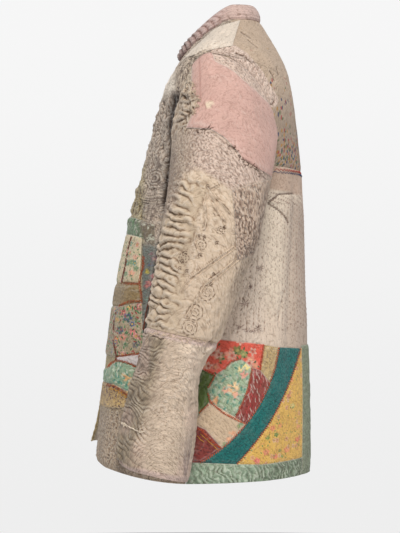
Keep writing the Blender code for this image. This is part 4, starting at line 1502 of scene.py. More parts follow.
def sleeve_left_pattern(dye, tape, tint):
    busy, loops = dye.sum("MAXIMUM", dye.kept("lace"), dye.kept("dense")), curled(dye, tape, 0.0058, 1.5)
    holes = dye.times(dabs(dye, tape, 0.0036, 0.9, 0.32, 0.26, 3.1), dye.kept("strip"))
    colour = dye.over(tint, (0.14, 0.10, 0.08, 1), loops["Specks"], busy, 0.70)
    colour = dye.over(colour, (0.07, 0.045, 0.03, 1), holes, 0.9)
    colour, creases = creased(dye, tape, colour, 0.012, 2.2, -0.5, 0.42)
    height = dye.plus(dye.times(dye.times(loops["Height"], busy), 0.8), dye.times(creases, 0.35))
    return colour, dye.plus(height, dye.times(holes, -1.0))


def sleeve_low_pattern(dye, tape, tint):
    """Slanting creases toward the front, and fine level ones with flecks round the outside."""
    front, flecks = dye.kept("front"), dabs(dye, tape, 0.0060, 0.55, 0.26, 0.14, 1.6)
    crossed, creases = creased(dye, tape, tint, 0.006, 2.0, 0.5, 0.8)
    combed, level = creased(dye, tape, tint, 0.0044, 2.8, 0.06, 0.70)
    colour = dye.over(dye.mix(front, combed, crossed), (0.20, 0.12, 0.09, 1), flecks, 0.40)
    specks = curled(dye, tape, 0.0070, 1.3)["Specks"]
    colour = dye.over(colour, (0.15, 0.11, 0.08, 1), specks, front, 0.60)
    round_it = dye.times(level, dye.eased(front, 0.0, 1.0, 0.8, 0.1))
    return colour, dye.plus(dye.times(creases, dye.times(front, 0.9)), round_it)


def quilt_pattern(gap=0.008, length=0.007, angle=0.0, thread=(0.14, 0.11, 0.09, 1), amount=0.4, dark=0.5):
    def pattern(dye, tape, tint):
        colour, creases = creased(dye, tape, tint, 0.010, 2.0, angle + 0.3, dark)
        return dashes(dye, tape, colour, dye.times(creases, 0.5), gap, length, thread, angle, amount)

    return pattern


def stippled(dye, tape, tint, size, rings, amount, speck):
    """A cloth that is stippled all over with curly stitches."""
    loops = curled(dye, tape, size, rings)
    colour, creases = creased(dye, tape, tint, 0.009, 1.4, 0.4, 0.5)
    height = dye.plus(dye.times(loops["Height"], 0.8), dye.times(creases, 0.4))
    return dye.over(colour, speck, loops["Specks"], amount), height


def stipple_pattern(size, rings, amount, speck=(0.13, 0.10, 0.08, 1)):
    def pattern(dye, tape, tint):
        return stippled(dye, tape, tint, size, rings, amount, speck)

    return pattern


def front_pattern(dye, tape, tint):
    amount = dye.eased(dye.kept("calm"), 0.0, 1.0, 1.0, 0.3)
    return stippled(dye, tape, tint, 0.0055, 1.5, amount, (0.12, 0.09, 0.07, 1))


LEAF_SHIFT = (0.13, 0.21, 0.07)  # keeps one kind of leaf clear of the next


def flower_pattern(blooms, leaves, specks, size, share, width):
    """A cotton print: blooms of two or three colours, small leaves and buds between them."""

    def pattern(dye, tape, tint):
        bloom = dye.group(SPRIGS, Vector=tape, Size=size, Share=share, Petals=5.0, Width=width)
        colour = tint
        if specks:
            grain = dye.eased(dye.noise(tape, 240.0), 0.5, 0.62)
            colour = dye.over(colour, (0.7, 0.62, 0.5, 1), grain, specks)
        colour = strewn(dye, tape, colour, leaves, LEAF_SHIFT, (), size * 0.45, 0.40, 0.18, 6.0)
        first, second, heart = blooms
        petal = dye.mix(dye.eased(bloom["Pick"], 0.48, 0.52), first, second)
        petal = dye.over(petal, (0.8, 0.72, 0.6, 1), dye.eased(bloom["Away"], 0.1, width, 0.0, 0.35))
        colour = dye.over(dye.over(colour, petal, bloom["Petals"]), heart, bloom["Heart"])
        colour, creases = creased(dye, tape, colour, 0.009, 1.6, 0.8, 0.5)
        return colour, dye.times(creases, 0.6)

    return pattern


def leafy_pattern(*leaves):
    """A cotton print of broad leaves that overlap."""

    def pattern(dye, tape, tint):
        colour = strewn(dye, tape, tint, leaves, LEAF_SHIFT, (0.72,), 0.0105, 0.44, 0.20, 6.0)
        colour, creases = creased(dye, tape, colour, 0.009, 1.6, 0.8, 0.5)
        return colour, dye.times(creases, 0.8)

    return pattern


def streak_pattern(dye, tape, tint):
    """Broken streaks of white and red woven along a burgundy cloth."""
    streaks = (((0.50, 0.36, 0.31, 1), 0.75), ((0.42, 0.05, 0.05, 1), 0.6))
    colour = strewn(dye, tape, tint, streaks, (0, 0.11, 0.23), (0.85,), 0.0075, 0.80, 0.13, 0.4, -1.75)
    colour, creases = creased(dye, tape, colour, 0.008, 2.0, -1.7, 0.6)
    return colour, dye.times(creases, 0.6)


# ------------------------------------------------------------------------------------------------ outlines

SHOULDER = mm(29, 14, 23, -7, 14, -41, -25, -50, -50, -57, -68, -56, -39, -26, -16, -6)
EDGE, FOLD = -0.25, -0.131
BELOW_MINT = ((EDGE, -0.332), (-0.156, -0.3395), (FOLD, -0.346))
BELOW_CREAM = ((EDGE, -0.422), (-0.170, -0.4215), (-0.135, -0.4195))
BELOW_OLIVE = ((EDGE, -0.462), (-0.173, -0.459), (FOLD, -0.451))
BELOW_BLUE = ((EDGE, -0.546), (-0.172, -0.541), (-0.129, -0.532))
ABOVE_FLOWER = mm(-172, -545.5, -158, -548, -139, -554)
BELOW_FLOWER = ((EDGE, -0.588), (-0.178, -0.584), (-0.152, -0.595))
ABOVE_MINT = ((EDGE, -0.298), (-0.149, -0.311), (-0.110, -0.326), (-0.110, -0.362))
FRONT_OUTLINES = {
    "front_mint_patch": ABOVE_MINT + BELOW_MINT[::-1],
    "front_cream_patch": BELOW_MINT + BELOW_CREAM[::-1],
    "front_olive_patch": BELOW_CREAM + BELOW_OLIVE[::-1],
    "front_blue_patch": BELOW_OLIVE + BELOW_BLUE[::-1],
    "front_white_patch": BELOW_BLUE[1:] + ((-0.129, -0.541),) + ABOVE_FLOWER[::-1],
    "front_flower_patch": ((-0.191, -0.562),) + ABOVE_FLOWER + ((-0.144, -0.571),) + BELOW_FLOWER[::-1],
    "front_gold_patch": BELOW_FLOWER + ((-0.154, -0.621), (EDGE, -0.629)),
}


def arc(circle, start, end, steps):
    """Points of an arc, seen from the side, between two angles in degrees."""
    y, z, radius = circle
    angles = [math.radians(between(start, end, k / steps)) for k in range(steps + 1)]
    return tuple((y + radius * math.cos(angle), z + radius * math.sin(angle)) for angle in angles)


BLOCK_LEFT, BLOCK_RIGHT, BELOW_HEM = -0.10, 0.20, -0.80
RED_CORNER, MINT_CORNER, STRIPE_CORNER = mm(-13, -566, 46, -556, 59, -560)
MINT_LEFT, MINT_LOW, MINT_FOOT, MINT_SIDE = mm(-25, -587, -22, -608, 19, -634, 38, -593)
BEIGE_CORNER, BURGUNDY_CORNER = mm(-50, -643, -29, -652)
MINT_TOP = mm(1, -557, 12, -545, 28, -540)
KHAKI_ARC, STRIPE_ARC = arc(INNER_ARC, -8.5, -22, 6), arc(INNER_ARC, -22, -39.5, 6)
BEIGE_ARC, BURGUNDY_ARC = arc(INNER_ARC, -39.5, -52, 6), arc(INNER_ARC, -52, -61.5, 4)
WHOLE_INNER = KHAKI_ARC + STRIPE_ARC[1:] + BEIGE_ARC[1:] + BURGUNDY_ARC[1:]
WHOLE_OUTER = arc(OUTER_ARC, -16.5, -45, 14)
HEM_TOP = (BURGUNDY_ARC[-1], WHOLE_OUTER[-1], (0.060, -0.7105), (0.095, -0.709), (BLOCK_RIGHT, -0.704))
BLOCK_OUTLINES = {
    "block_red": (
        (BLOCK_LEFT, -0.498), (0.065, -0.518), STRIPE_CORNER, MINT_CORNER, *MINT_TOP[::-1], RED_CORNER,
        (BLOCK_LEFT, -0.530),
    ),
    "block_green": (
        (BLOCK_LEFT, -0.530), RED_CORNER, MINT_LEFT, MINT_LOW, BEIGE_CORNER, (BLOCK_LEFT, -0.643),
    ),
    "block_mint": (RED_CORNER, *MINT_TOP, MINT_CORNER, MINT_SIDE, MINT_FOOT, MINT_LOW, MINT_LEFT),
    "block_striped": (STRIPE_CORNER, *STRIPE_ARC, MINT_FOOT, MINT_SIDE, MINT_CORNER),
    "block_khaki": ((0.065, -0.518), *KHAKI_ARC, STRIPE_CORNER),
    "block_beige": (MINT_LOW, MINT_FOOT, *BEIGE_ARC, BURGUNDY_CORNER, BEIGE_CORNER),
    "block_burgundy": (
        (BLOCK_LEFT, -0.643), BEIGE_CORNER, BURGUNDY_CORNER, *BURGUNDY_ARC, (BLOCK_LEFT, -0.705),
    ),
    "block_teal": WHOLE_INNER + WHOLE_OUTER[::-1],
    "block_yellow": WHOLE_OUTER + HEM_TOP[2:] + ((BLOCK_RIGHT, -0.50),),
    "hem_band": ((BLOCK_LEFT, -0.705), *HEM_TOP, (BLOCK_RIGHT, BELOW_HEM), (BLOCK_LEFT, BELOW_HEM)),
}
BESIDE_BAND = (*BAND_EDGE, (BLOCK_RIGHT, BAND_EDGE[1][1]), (0.25, -0.30), (BAND_EDGE[0][0] - 0.01, -0.30))
LEFT_HALF = ((0.05, -0.30), (0.25, -0.30), (0.25, -0.78), (0.05, -0.78))
BAND = (*BAND_EDGE, (-0.015, BELOW_HEM), (-0.015, -0.610), (0.035, BAND_TOP))


# --------------------------------------------------------------------------------------- making the pieces


def sleeve_marks(spots):
    dense = eased(spots.y, 0.0, 0.03) * eased(-spots.z, 0.25, 0.30)
    return {"lace": sleeve_lace(spots, 0.004), "dense": dense, "strip": stitched_strip(spots)}


def yoke_marks(spots):
    sprigs = 0.62 * eased(-spots.z, 0.160, 0.205) + 0.12 * eased(-spots.z, 0.07, 0.12)
    band = lace_band(spots)
    return {"lace": band, "sprigs": sprigs * (1 - band)}


BLOOMS = {  # y, z, radius in millimetres, colour as seen: flowers and leaves placed one by one
    "block_mint": (
        (14, -588, 8.5, (236, 186, 142)), (19, -583, 5, (240, 206, 160)), (3, -590, 5, (224, 158, 140)),
        (20, -599, 5, (226, 160, 142)), (36, -553, 6, (232, 214, 140)), (33, -566, 6, (224, 150, 138)),
        (26, -557, 4, (232, 206, 150)), (-13, -606, 6, (222, 160, 120)),
    ),
    "block_red": (
        (-12, -531, 8, (214, 150, 130)), (12, -534, 9, (216, 150, 128)), (-13, -553, 6, (206, 132, 112)),
        (-30, -550, 7, (214, 146, 124)), (43, -543, 7, (214, 146, 124)), (50, -552, 6, (210, 140, 118)),
        (22, -527, 7, (110, 120, 70)), (32, -533, 6, (130, 150, 96)), (-4, -538, 6, (140, 128, 90)),
    ),
    "block_yellow": (
        (78, -653, 5.5, (216, 130, 96)), (64, -624, 4, (214, 128, 96)), (85, -628, 4, (222, 150, 100)),
        (105, -604, 5, (214, 130, 104)), (68, -691, 6, (218, 132, 106)), (102, -690, 6, (222, 140, 104)),
        (83, -699, 5, (214, 124, 104)), (120, -676, 5, (214, 112, 90)), (53, -704, 6, (216, 110, 110)),
        (110, -577, 5, (216, 140, 100)), (91, -650, 4, (220, 140, 96)), (74, -640, 4.5, (84, 122, 62)),
        (84, -664, 4.5, (78, 118, 60)), (70, -668, 4.5, (92, 128, 66)), (94, -700, 3, (110, 140, 80)),
        (112, -620, 5, (196, 186, 120)), (90, -690, 3, (96, 110, 50)), (122, -655, 4, (222, 150, 104)),
    ),
    "block_beige": (
        (24, -648, 4, (120, 140, 96)), (16, -659, 5, (222, 158, 124)), (8, -669, 5, (224, 160, 124)),
        (1, -676, 4, (120, 140, 96)), (10, -658, 3, (222, 168, 132)), (28, -645, 4, (100, 146, 116)),
    ),
    "front_blue_patch": (
        (-153, -476, 7, (52, 70, 112)), (-166, -497, 5.5, (46, 62, 98)), (-161, -468, 4, (196, 112, 104)),
        (-145, -500, 5.5, (190, 96, 100)), (-161, -508, 5, (200, 120, 104)), (-135, -459, 5, (150, 66, 78)),
        (-150, -459, 4, (202, 162, 80)), (-172, -480, 4, (196, 140, 60)), (-172, -512, 4.5, (206, 120, 66)),
        (-156, -520, 4, (84, 110, 84)), (-140, -520, 5, (56, 66, 84)), (-138, -480, 4, (70, 90, 70)),
    ),
    "front_left": (
        (-117, -389, 4.5, (44, 56, 96)), (-123, -401, 4.5, (190, 172, 70)), (-120, -419, 6, (178, 108, 112)),
        (-114, -409, 5, (170, 110, 116)), (-124, -424, 5, (176, 104, 108)), (-112, -380, 5, (140, 104, 112)),
        (-116, -372, 4, (150, 120, 124)), (-123, -445, 4, (96, 128, 116)),
    ),
    "front_flower_patch": (
        (-153, -574, 7.5, (206, 156, 108)), (-160, -569, 4, (216, 176, 130)),
        (-176, -562, 4, (196, 214, 190)), (-150, -584, 4, (214, 160, 120)),
        (-168, -580, 4, (60, 120, 100)), (-172, -553, 4, (70, 130, 108)),
    ),
    "front_cream_patch": (
        (-147, -404, 5, (214, 150, 128)), (-152, -372, 4, (96, 136, 96)), (-146, -386, 4.5, (84, 130, 96)),
        (-155, -388, 4, (80, 124, 90)), (-140, -396, 4, (84, 130, 96)), (-158, -405, 4, (90, 130, 96)),
        (-141, -378, 4, (214, 160, 140)),
    ),
}


def bloomed(paint, flowers, growth=1.0):
    """Adds flowers to a cloth's colours, each a ring of petals with a paler heart."""

    def tint(spots):
        colours = paint(spots)
        for *place, colour in flowers:
            y, z, radius = map(metres, place)
            radius = radius * growth
            away, way = np.hypot(spots.y - y, spots.z - z), np.arctan2(spots.z - z, spots.y - y)
            rim = radius * (0.84 + 0.20 * np.cos(5 * way + 900 * y))
            heart = tuple(0.35 * shade + 0.65 * warm for shade, warm in zip(colour, (232, 196, 128)))
            colours = toned(
                colours,
                (colour, 0.92 * (1 - eased(away, rim * 0.72, rim * 1.12))),
                (heart, 0.7 * (1 - eased(away, radius * 0.12, radius * 0.38))),
            )
        return colours

    return tint


HALF_BACK = stops(BACK, (0, 0.5, 0.0025), (0.5, 1, 0.0050))
ROUND_SLEEVE = stops(SLEEVE_LEFT, (0, 0.2, 0.0036), (0.2, 0.8, 0.0018), (0.8, 1, 0.0036))
panel(
    "back_lower", BACK, HALF_BACK, body_rows(0, YOKE_SEAM, 0.0026), back_relief, back_tint,
    cloth_material("cream quilted cotton", back_pattern),
)
panel(
    "back_yoke", BACK, HALF_BACK, body_rows(YOKE_SEAM, NECK, 0.0030), yoke_relief, yoke_tint,
    cloth_material("tan embroidered cotton", yoke_pattern), yoke_marks,
)
panel(
    "front_left", FRONT_LEFT, stops(FRONT_LEFT, (0, 0.65, 0.0021), (0.65, 1, 0.0042)),
    body_rows(0, NECK, 0.0022), front_left_relief, bloomed(front_tint, BLOOMS["front_left"]),
    cloth_material("grey crinkled cotton", front_pattern), front_marks,
)
panel(
    "front_right", FRONT_RIGHT, stops(FRONT_RIGHT, (0, 1, 0.0045)), body_rows(0, NECK, 0.0045),
    front_right_relief, front_right_tint, cloth_material("olive quilted cotton", quilt_pattern()),
)
rows = np.concatenate((
    np.linspace(0, 1.1, 132, endpoint=False), even_rows(SLEEVE_LEFT, 1.1, SLEEVE_SEAM, 0.0019)
))
panel(
    "sleeve_upper_left", SLEEVE_LEFT, ROUND_SLEEVE, rows, sleeve_left_relief, sleeve_left_tint,
    cloth_material("cream rippled cotton", sleeve_left_pattern), sleeve_marks, tube=True,
)
rows = even_rows(SLEEVE_LEFT, SLEEVE_SEAM, SLEEVE_HEM, 0.0017)
panel(
    "sleeve_lower_left", SLEEVE_LEFT, ROUND_SLEEVE, rows, sleeve_low_relief, sleeve_low_tint,
    cloth_material("crinkled sleeve cotton", sleeve_low_pattern), sleeve_low_marks, tube=True,
)
right_cotton = cloth_material("plain quilted cotton", quilt_pattern())
columns = stops(SLEEVE_RIGHT, (0, 1, 0.0045))
rows = even_rows(SLEEVE_RIGHT, 0, SLEEVE_SEAM, 0.0045)
panel(
    "sleeve_upper_right", SLEEVE_RIGHT, columns, rows, sleeve_right_relief, sleeve_right_tint, right_cotton,
    tube=True,
)
rows = even_rows(SLEEVE_RIGHT, SLEEVE_SEAM, SLEEVE_HEM, 0.0045)
panel(
    "sleeve_lower_right", SLEEVE_RIGHT, columns, rows, sleeve_low_relief, sleeve_right_tint, right_cotton,
    tube=True,
)
panel(
    "collar", NECKBAND, stops(NECKBAND, (0, 0.5, 0.0017), (0.5, 1, 0.0025)),
    even_rows(NECKBAND, 0, 1, 0.0018), collar_relief, collar_tint,
    cloth_material("mauve collar cotton", quilt_pattern(0.005, 0.004, amount=0.25)),
)

GREEN_LEAF, DEEP_GREEN, TEAL_LEAF = (0.08, 0.20, 0.08, 1), (0.04, 0.12, 0.05, 1), (0.05, 0.24, 0.19, 1)
PINK, NAVY, OCHRE_HEART = (0.52, 0.20, 0.17, 1), (0.03, 0.06, 0.16, 1), (0.52, 0.34, 0.08, 1)
GREEN_PRINT = leafy_pattern((TEAL_LEAF, 0.8), ((0.52, 0.54, 0.42, 1), 0.85), ((0.20, 0.36, 0.24, 1), 0.6))
CREAM_PRINT = flower_pattern((PINK, TEAL_LEAF, OCHRE_HEART), ((GREEN_LEAF, 0.5),), 0.2, 0.016, 0.25, 0.36)
BLUE_PRINT = flower_pattern(
    (NAVY, PINK, OCHRE_HEART), ((GREEN_LEAF, 0.6), (DEEP_GREEN, 0.5), ((0.30, 0.06, 0.05, 1), 0.35)),
    0.2, 0.017, 0.3, 0.36,
)
RED_PRINT = flower_pattern(
    ((0.60, 0.30, 0.22, 1), (0.52, 0.22, 0.16, 1), (0.42, 0.10, 0.07, 1)), ((DEEP_GREEN, 0.2),),
    0.0, 0.0170, 0.45, 0.42,
)
YELLOW_PRINT = flower_pattern(
    ((0.60, 0.24, 0.14, 1), (0.62, 0.34, 0.20, 1), OCHRE_HEART),
    (((0.16, 0.24, 0.07, 1), 0.14), ((0.60, 0.30, 0.12, 1), 0.30)), 0.0, 0.0125, 0.22, 0.34,
)
SCRAP = mm(-29, -141.4, -25.2, -134.9, -15, -135.4, -19.7, -143.6, -27.3, -146.1)


def pink_tint(spots):
    folds = (mm(-37, -55, -36, -135), mm(-46, -150, -30, -142, -16, -130))
    return toned(
        blotched(spots, (193, 156, 144), 0.06, 0.02, 281),
        # painted shade along the folds
        ((150, 104, 92), 0.5 * lines(spots, folds, 0.0012)),
        # painted shadow along the scrap's lower edges
        ((120, 84, 72), 0.6 * lines(spots, (SCRAP[2:] + SCRAP[:1],), 0.0012)),
        ((216, 196, 172), spots.inside(SCRAP, 0.0006)),
    )


def mint_tint(spots):
    return toned(
        blotched(spots, (88, 118, 84), 0.16, 0.010, 282),
        ((120, 108, 90), eased(spots.y + 0.25 * (spots.z + 0.33), -0.140, -0.128)),
        ((150, 146, 148), 1 - eased(spots.y + 0.003 * lumps(spots, 0.01, 290), -0.164, -0.157)),
        ((190, 190, 172), 0.7 * eased(lumps(spots, 0.006, 283), 0.25, 0.45)),
    )


def brown_tint(spots):
    return toned(
        blotched(spots, (190, 166, 146), 0.06, 0.02, 286), ((92, 66, 56), 0.62 * gaps(ringed_loops(spots)))
    )


def brown_relief(spots):
    return 0.0013 * ringed_loops(spots)


def gold_tint(spots):
    dark = gaps(curls(spots, 0.0065, 1.0, 288)) * eased(spots.z, -0.612, -0.604)
    return toned(
        blotched(spots, (186, 158, 112), 0.10, 0.012, 287),
        ((96, 66, 72), 0.8 * dark),
        ((206, 170, 96), 0.6 * eased(lumps(spots, 0.006, 289), 0.3, 0.6)),
    )


def teal_tint(spots):
    pale = 0.25 * eased(lumps(spots, 0.005, 285), 0.45, 0.7)
    return toned(blotched(spots, (26, 104, 100), 0.08, 0.02, 284), ((90, 150, 140), pale))


PATCHES = {
    # name: colour as seen or tint, pattern, how its puckers lie (degrees), edge wear
    "shoulder_patch": (
        (206, 192, 176), quilt_pattern(0.0095, 0.008, 1.57, (0.3, 0.28, 0.24, 1), 0.55, 0.0), 0, 0.2,
    ),
    "sleeve_pink_patch": (
        pink_tint, quilt_pattern(0.009, 0.008, 0.5, (0.30, 0.13, 0.11, 1), 0.3, 0.2), 30, 0.5,
    ),
    "sleeve_brown_patch": (brown_tint, stipple_pattern(0.0070, 1.6, 1.0), 30, 0.3),
    "front_mint_patch": (mint_tint, stipple_pattern(0.0075, 1.4, 1.0), 70, 0.3),
    "front_cream_patch": ((196, 180, 147), CREAM_PRINT, 60, 0.3),
    "front_olive_patch": ((134, 113, 78), quilt_pattern(), 40, 0.3),
    "front_blue_patch": ((158, 142, 115), BLUE_PRINT, 60, 0.3),
    "front_white_patch": ((196, 186, 184), quilt_pattern(0.008, 0.006), 60, 0.3),
    "front_flower_patch": ((134, 154, 126), GREEN_PRINT, 60, 0.3),
    "front_gold_patch": (gold_tint, stipple_pattern(0.0070, 1.5, 1.0, (0.07, 0.03, 0.05, 1)), 60, 0.3),
    "block_red": ((214, 92, 74), RED_PRINT, 20, 0.3),
    "block_green": ((88, 108, 54), quilt_pattern(0.008, 0.007, 1.3, (0.05, 0.08, 0.03, 1)), 80, 0.3),
    "block_mint": ((156, 174, 144), GREEN_PRINT, 60, 0.3),
    "block_striped": ((132, 56, 50), streak_pattern, 70, 0.3),
    "block_khaki": ((184, 158, 112), stipple_pattern(0.0075, 1.5, 0.55), 60, 0.3),
    "block_beige": (
        (200, 176, 148), quilt_pattern(0.009, 0.007, 0.6, (0.2, 0.12, 0.1, 1), 0.6, 0.15), 60, 0.3,
    ),
    "block_burgundy": (
        (132, 60, 54), quilt_pattern(0.006, 0.006, 0.3, (0.05, 0.02, 0.03, 1), 0.9), 40, 0.3,
    ),
    "block_teal": (teal_tint, stipple_pattern(0.0065, 1.5, 0.8, (0.01, 0.05, 0.055, 1)), 50, 0.1),
    "block_yellow": ((212, 170, 88), YELLOW_PRINT, 80, 0.2),
}
SEWN_ON = {  # the form and the relief that a patch lies on, and between which levels
    "shoulder": (SHOULDER_LEFT, yoke_relief, (SHOULDER_TIP, NECK)),
    "sleeve": (SLEEVE_LEFT, sleeve_left_relief, (0, SLEEVE_SEAM)),
    "front": (FRONT_LEFT, front_left_relief, (0, NECK)),
    "block": (BACK, back_relief, (0, YOKE_SEAM)),
}
OUTLINES = {
    "shoulder_patch": SHOULDER, "sleeve_pink_patch": SLEEVE_PINK, "sleeve_brown_patch": SLEEVE_BROWN,
    **FRONT_OUTLINES, **BLOCK_OUTLINES,
}
BESIDE_BACK_BAND = ("block_teal", "block_yellow")
FINE = (*BLOOMS, "sleeve_pink_patch", "sleeve_brown_patch", "front_gold_patch", "front_mint_patch")
FULL_BLOWN = ("front_cream_patch", "front_blue_patch", "block_red", "block_mint")  # with larger flowers
for name, (paint, pattern, way, wear) in PATCHES.items():
    form, ground, levels = SEWN_ON[name.split("_")[0]]
    outlines = ((OUTLINES[name], "side"),)
    if form is BACK:
        outlines += ((BESIDE_BAND if name in BESIDE_BACK_BAND else LEFT_HALF, "behind"),)
    paint = paint if callable(paint) else one_tint(paint, 300 + len(pieces))
    relief = brown_relief if name == "sleeve_brown_patch" else patch_puckers(400 + len(pieces), way)
    rub = 0.04 if name == "block_teal" else 0.15
    patch(
        name, form, outlines, ground, relief,
        bloomed(paint, BLOOMS.get(name, ()), 1.3 if name in FULL_BLOWN else 1.0),
        cloth_material(name + " cotton", pattern, rub, wear), levels,
        0.0014 if name in FINE else 0.0021, (0.25, 0.75) if form is SLEEVE_LEFT else (0, 1),
    )


def sage_tint(spots):
    fading = ((112, 126, 103), eased(spots.y, 0.03, 0.10))
    return mottled(spots, toned(plain(spots, (144, 162, 138)), fading), 0.08, 0.02, 271)


def hem_tint(spots):
    ridges = hem_ridges(spots) + 0.35 * lumps(spots, 0.006, 156)
    return toned(
        sage_tint(spots),
        # painted highlight on the ridges' crests, and painted shade in the grooves between them
        ((202, 214, 192), 0.38 * eased(ridges, 0.70, 1.05)),
        ((70, 84, 66), 0.42 * (1 - eased(ridges, -0.05, 0.30))),
    )


sage = cloth_material("sage cotton", stipple_pattern(0.010, 1.2, 0.3), edge=0.3)
outlines = ((BLOCK_OUTLINES["hem_band"], "side"), (BESIDE_BAND, "behind"))
patch("hem_band", BACK, outlines, back_relief, hem_band_relief, hem_tint, sage, (0, YOKE_SEAM), 0.0015)
outlines = ((BAND, "behind"),)
patch("back_band", BACK, outlines, back_relief, band_relief, one_tint((122, 132, 108)), sage, (0, YOKE_SEAM))


# ----------------------------------------------------------------------------------- threads on the cloths


def cloth_ground():
    """The outer faces of all the cloths, to lay the threads on."""
    corners, faces = [], []
    for piece in pieces.values():
        first = len(corners)
        corners += [vertex.co.copy() for vertex in piece.data.vertices]
        faces += [[first + corner for corner in face.vertices] for face in piece.data.polygons]
    return BVHTree.FromPolygons(corners, faces)


GROUND = cloth_ground()
PLUCK = np.random.default_rng(700)  # small slips of the sewing hand
PROBE = 0.015  # how high above a form a stitch starts its way down to the cloth
CLOTH_AT, CLOTH_SLACK = 0.013, 0.007  # how far down the cloth is met, give or take
STAR_RAYS = 8


def heading(angle):
    return np.array((math.cos(angle), math.sin(angle)))


def square_to(way):
    return np.array((-way[1], way[0]))


class Threads:
    """Stitches of one thread, gathered as short runs of points over the cloth and made into one mesh."""

    def __init__(self, name, colour, thick, sides=0):
        self.name, self.colour, self.thick, self.sides, self.runs = name, colour, thick, sides, []

    def over(self, places, lift, raised=(), behind=False):
        """Lays a run over the cloth at places seen from the side (y, z), or from behind (x, z)."""
        run = []
        for k, (across, z) in enumerate(places):
            start, way = ((across, 1, z), (0, -1, 0)) if behind else ((1, across, z), (-1, 0, 0))
            hit, normal = GROUND.ray_cast(Vector(start), Vector(way))[:2]
            if hit is None:
                return
            if run and (hit - run[-1]).length > 3 * math.dist(places[k], places[k - 1]) + 0.002:
                return  # it would jump to another cloth
            rise = lift + (0.6 if k in raised else 0)
            run.append(hit + normal * self.thick * rise)
        self.runs.append(run)

    def row(self, path, step, half, lean):
        """Short stitches that cross a path, each leaning along it."""
        for place, way in walked(path, step):
            side = square_to(way) * half * PLUCK.uniform(0.8, 1.15)
            slant = way * lean * PLUCK.uniform(0.7, 1.3)
            place = place + PLUCK.normal(0, 0.0002, 2)
            self.over((place - side - slant, place, place + side + slant), 0.35, (1,))

    def dashes(self, path, step, length):
        """Running stitches along a path."""
        for place, way in walked(path, step):
            reach = way * length / 2 * PLUCK.uniform(0.75, 1.2)
            self.over((place - reach, place, place + reach), 0.2, (1,))

    def zigzag(self, path, step, half, behind=False):
        """A thread that runs to and fro across a path."""
        places = enumerate(walked(path, step))
        turns = [place + square_to(way) * half * (-1) ** k for k, (place, way) in places]
        for a, b in zip(turns, turns[1:]):
            self.over((a, (a + b) / 2, b), 0.3, (1,), behind)

    def quilting(self, form, spacing, stitch, length, levels, where):
        """Columns of running stitches up a form, in the dimples that its quilt relief has for them."""
        tall, wide = form.length[-1].mean(), (form.width[:, -1] - form.width[:, 0]).mean()
        rows = np.linspace(form.low, form.high, form.STEPS)
        for column in range(1, int(wide / spacing)):
            across = column * spacing / wide
            tape = form.length[:, round(across * (form.STEPS - 1))]
            for k in range(int(tall / stitch) + 1):
                level = np.interp(stitch * (k - 0.37 * column % 1), tape, rows)
                if levels[0] < level < levels[1]:
                    half = length / 2 * PLUCK.uniform(0.7, 1.2)
                    self.up_form(form, across, level, half / tall * (form.high - form.low), where)

    def up_form(self, form, across, level, reach, where):
        """One stitch up a form, if the cloth lies close to the form there."""
        run = []
        for k in (-1, 0, 1):
            spot, normal = form.place(np.array([across]), np.array([level + k * reach]))
            spot, normal = Vector(spot[0]), Vector(normal[0])
            hit, facing, _, away = GROUND.ray_cast(spot + normal * PROBE, -normal)
            if hit is None or abs(away - CLOTH_AT) > CLOTH_SLACK or not where(hit):
                return
            run.append(hit + facing * self.thick * (0.7 if k == 0 else 0.1))
        self.runs.append(run)

    def star(self, y, z, reach):
        """Straight stitches that spread from one point, some longer than others."""
        for k in range(STAR_RAYS):
            way, far = heading(math.tau * k / STAR_RAYS), reach * PLUCK.uniform(0.6, 1.1)
            self.over([(y, z) + way * far * share for share in (0.18, 0.6, 1.0)], 0.3, (1,))

    def fray(self, path, step, reach):
        """Loose ends and loops that stand out of a worn edge."""
        for place, way in walked(path, step):
            bend = PLUCK.uniform(-1.3, 1.3, 3)
            points = [place]
            for k in range(3):
                way = heading(bend[0] + k * bend[1])
                points.append(points[-1] + reach / 3 * PLUCK.uniform(0.6, 1.3) * way)
            self.over(points, 0.6, (1, 2))

    def cord(self, path, lift=0.4, step=0.003):
        """One thread laid along a path."""
        self.over([place for place, _ in walked(path, step)], lift)

    def ring(self, y, z, radius, count):
        """A round of small stitches."""
        for k in range(count):
            a, b = (math.tau * (k + share) / count for share in (0.15, 0.75))
            turns = (a, (a + b) / 2, b)
            points = [(y, z) + radius * PLUCK.uniform(0.9, 1.1) * heading(turn) for turn in turns]
            self.over(points, 0.3, (1,))

    def crescent(self, y, z, radius):
        """A curved stitch beside a knot, with a shorter one across it."""
        start = PLUCK.uniform(0.6, 1.6)
        self.over([(y, z) + radius * heading(turn) for turn in np.linspace(start, start + 3.2, 7)], 0.4)
        slanting = ((-0.4, -0.2), (0, 0.1), (0.5, -0.5))
        self.over([(y + radius * across, z + radius * up) for across, up in slanting], 0.4)

    def sewn(self):
        curve = bpy.data.curves.new(self.name, "CURVE")
        curve.dimensions, curve.bevel_depth, curve.bevel_resolution = "3D", self.thick / 2, self.sides
        curve.use_fill_caps = True
        for run in self.runs:
            spline = curve.splines.new("POLY")
            spline.points.add(len(run) - 1)
            spline.points.foreach_set("co", [number for point in run for number in (*point, 1)])
        maker = bpy.data.objects.new(self.name + "_path", curve)
        made = bpy.data.objects.new(self.name, bpy.data.meshes.new_from_object(maker))
        bpy.data.objects.remove(maker)
        bpy.context.scene.collection.objects.link(made)
        made.data.shade_smooth()
        made.data.materials.append(thread_material(self.name, self.colour))
        return made


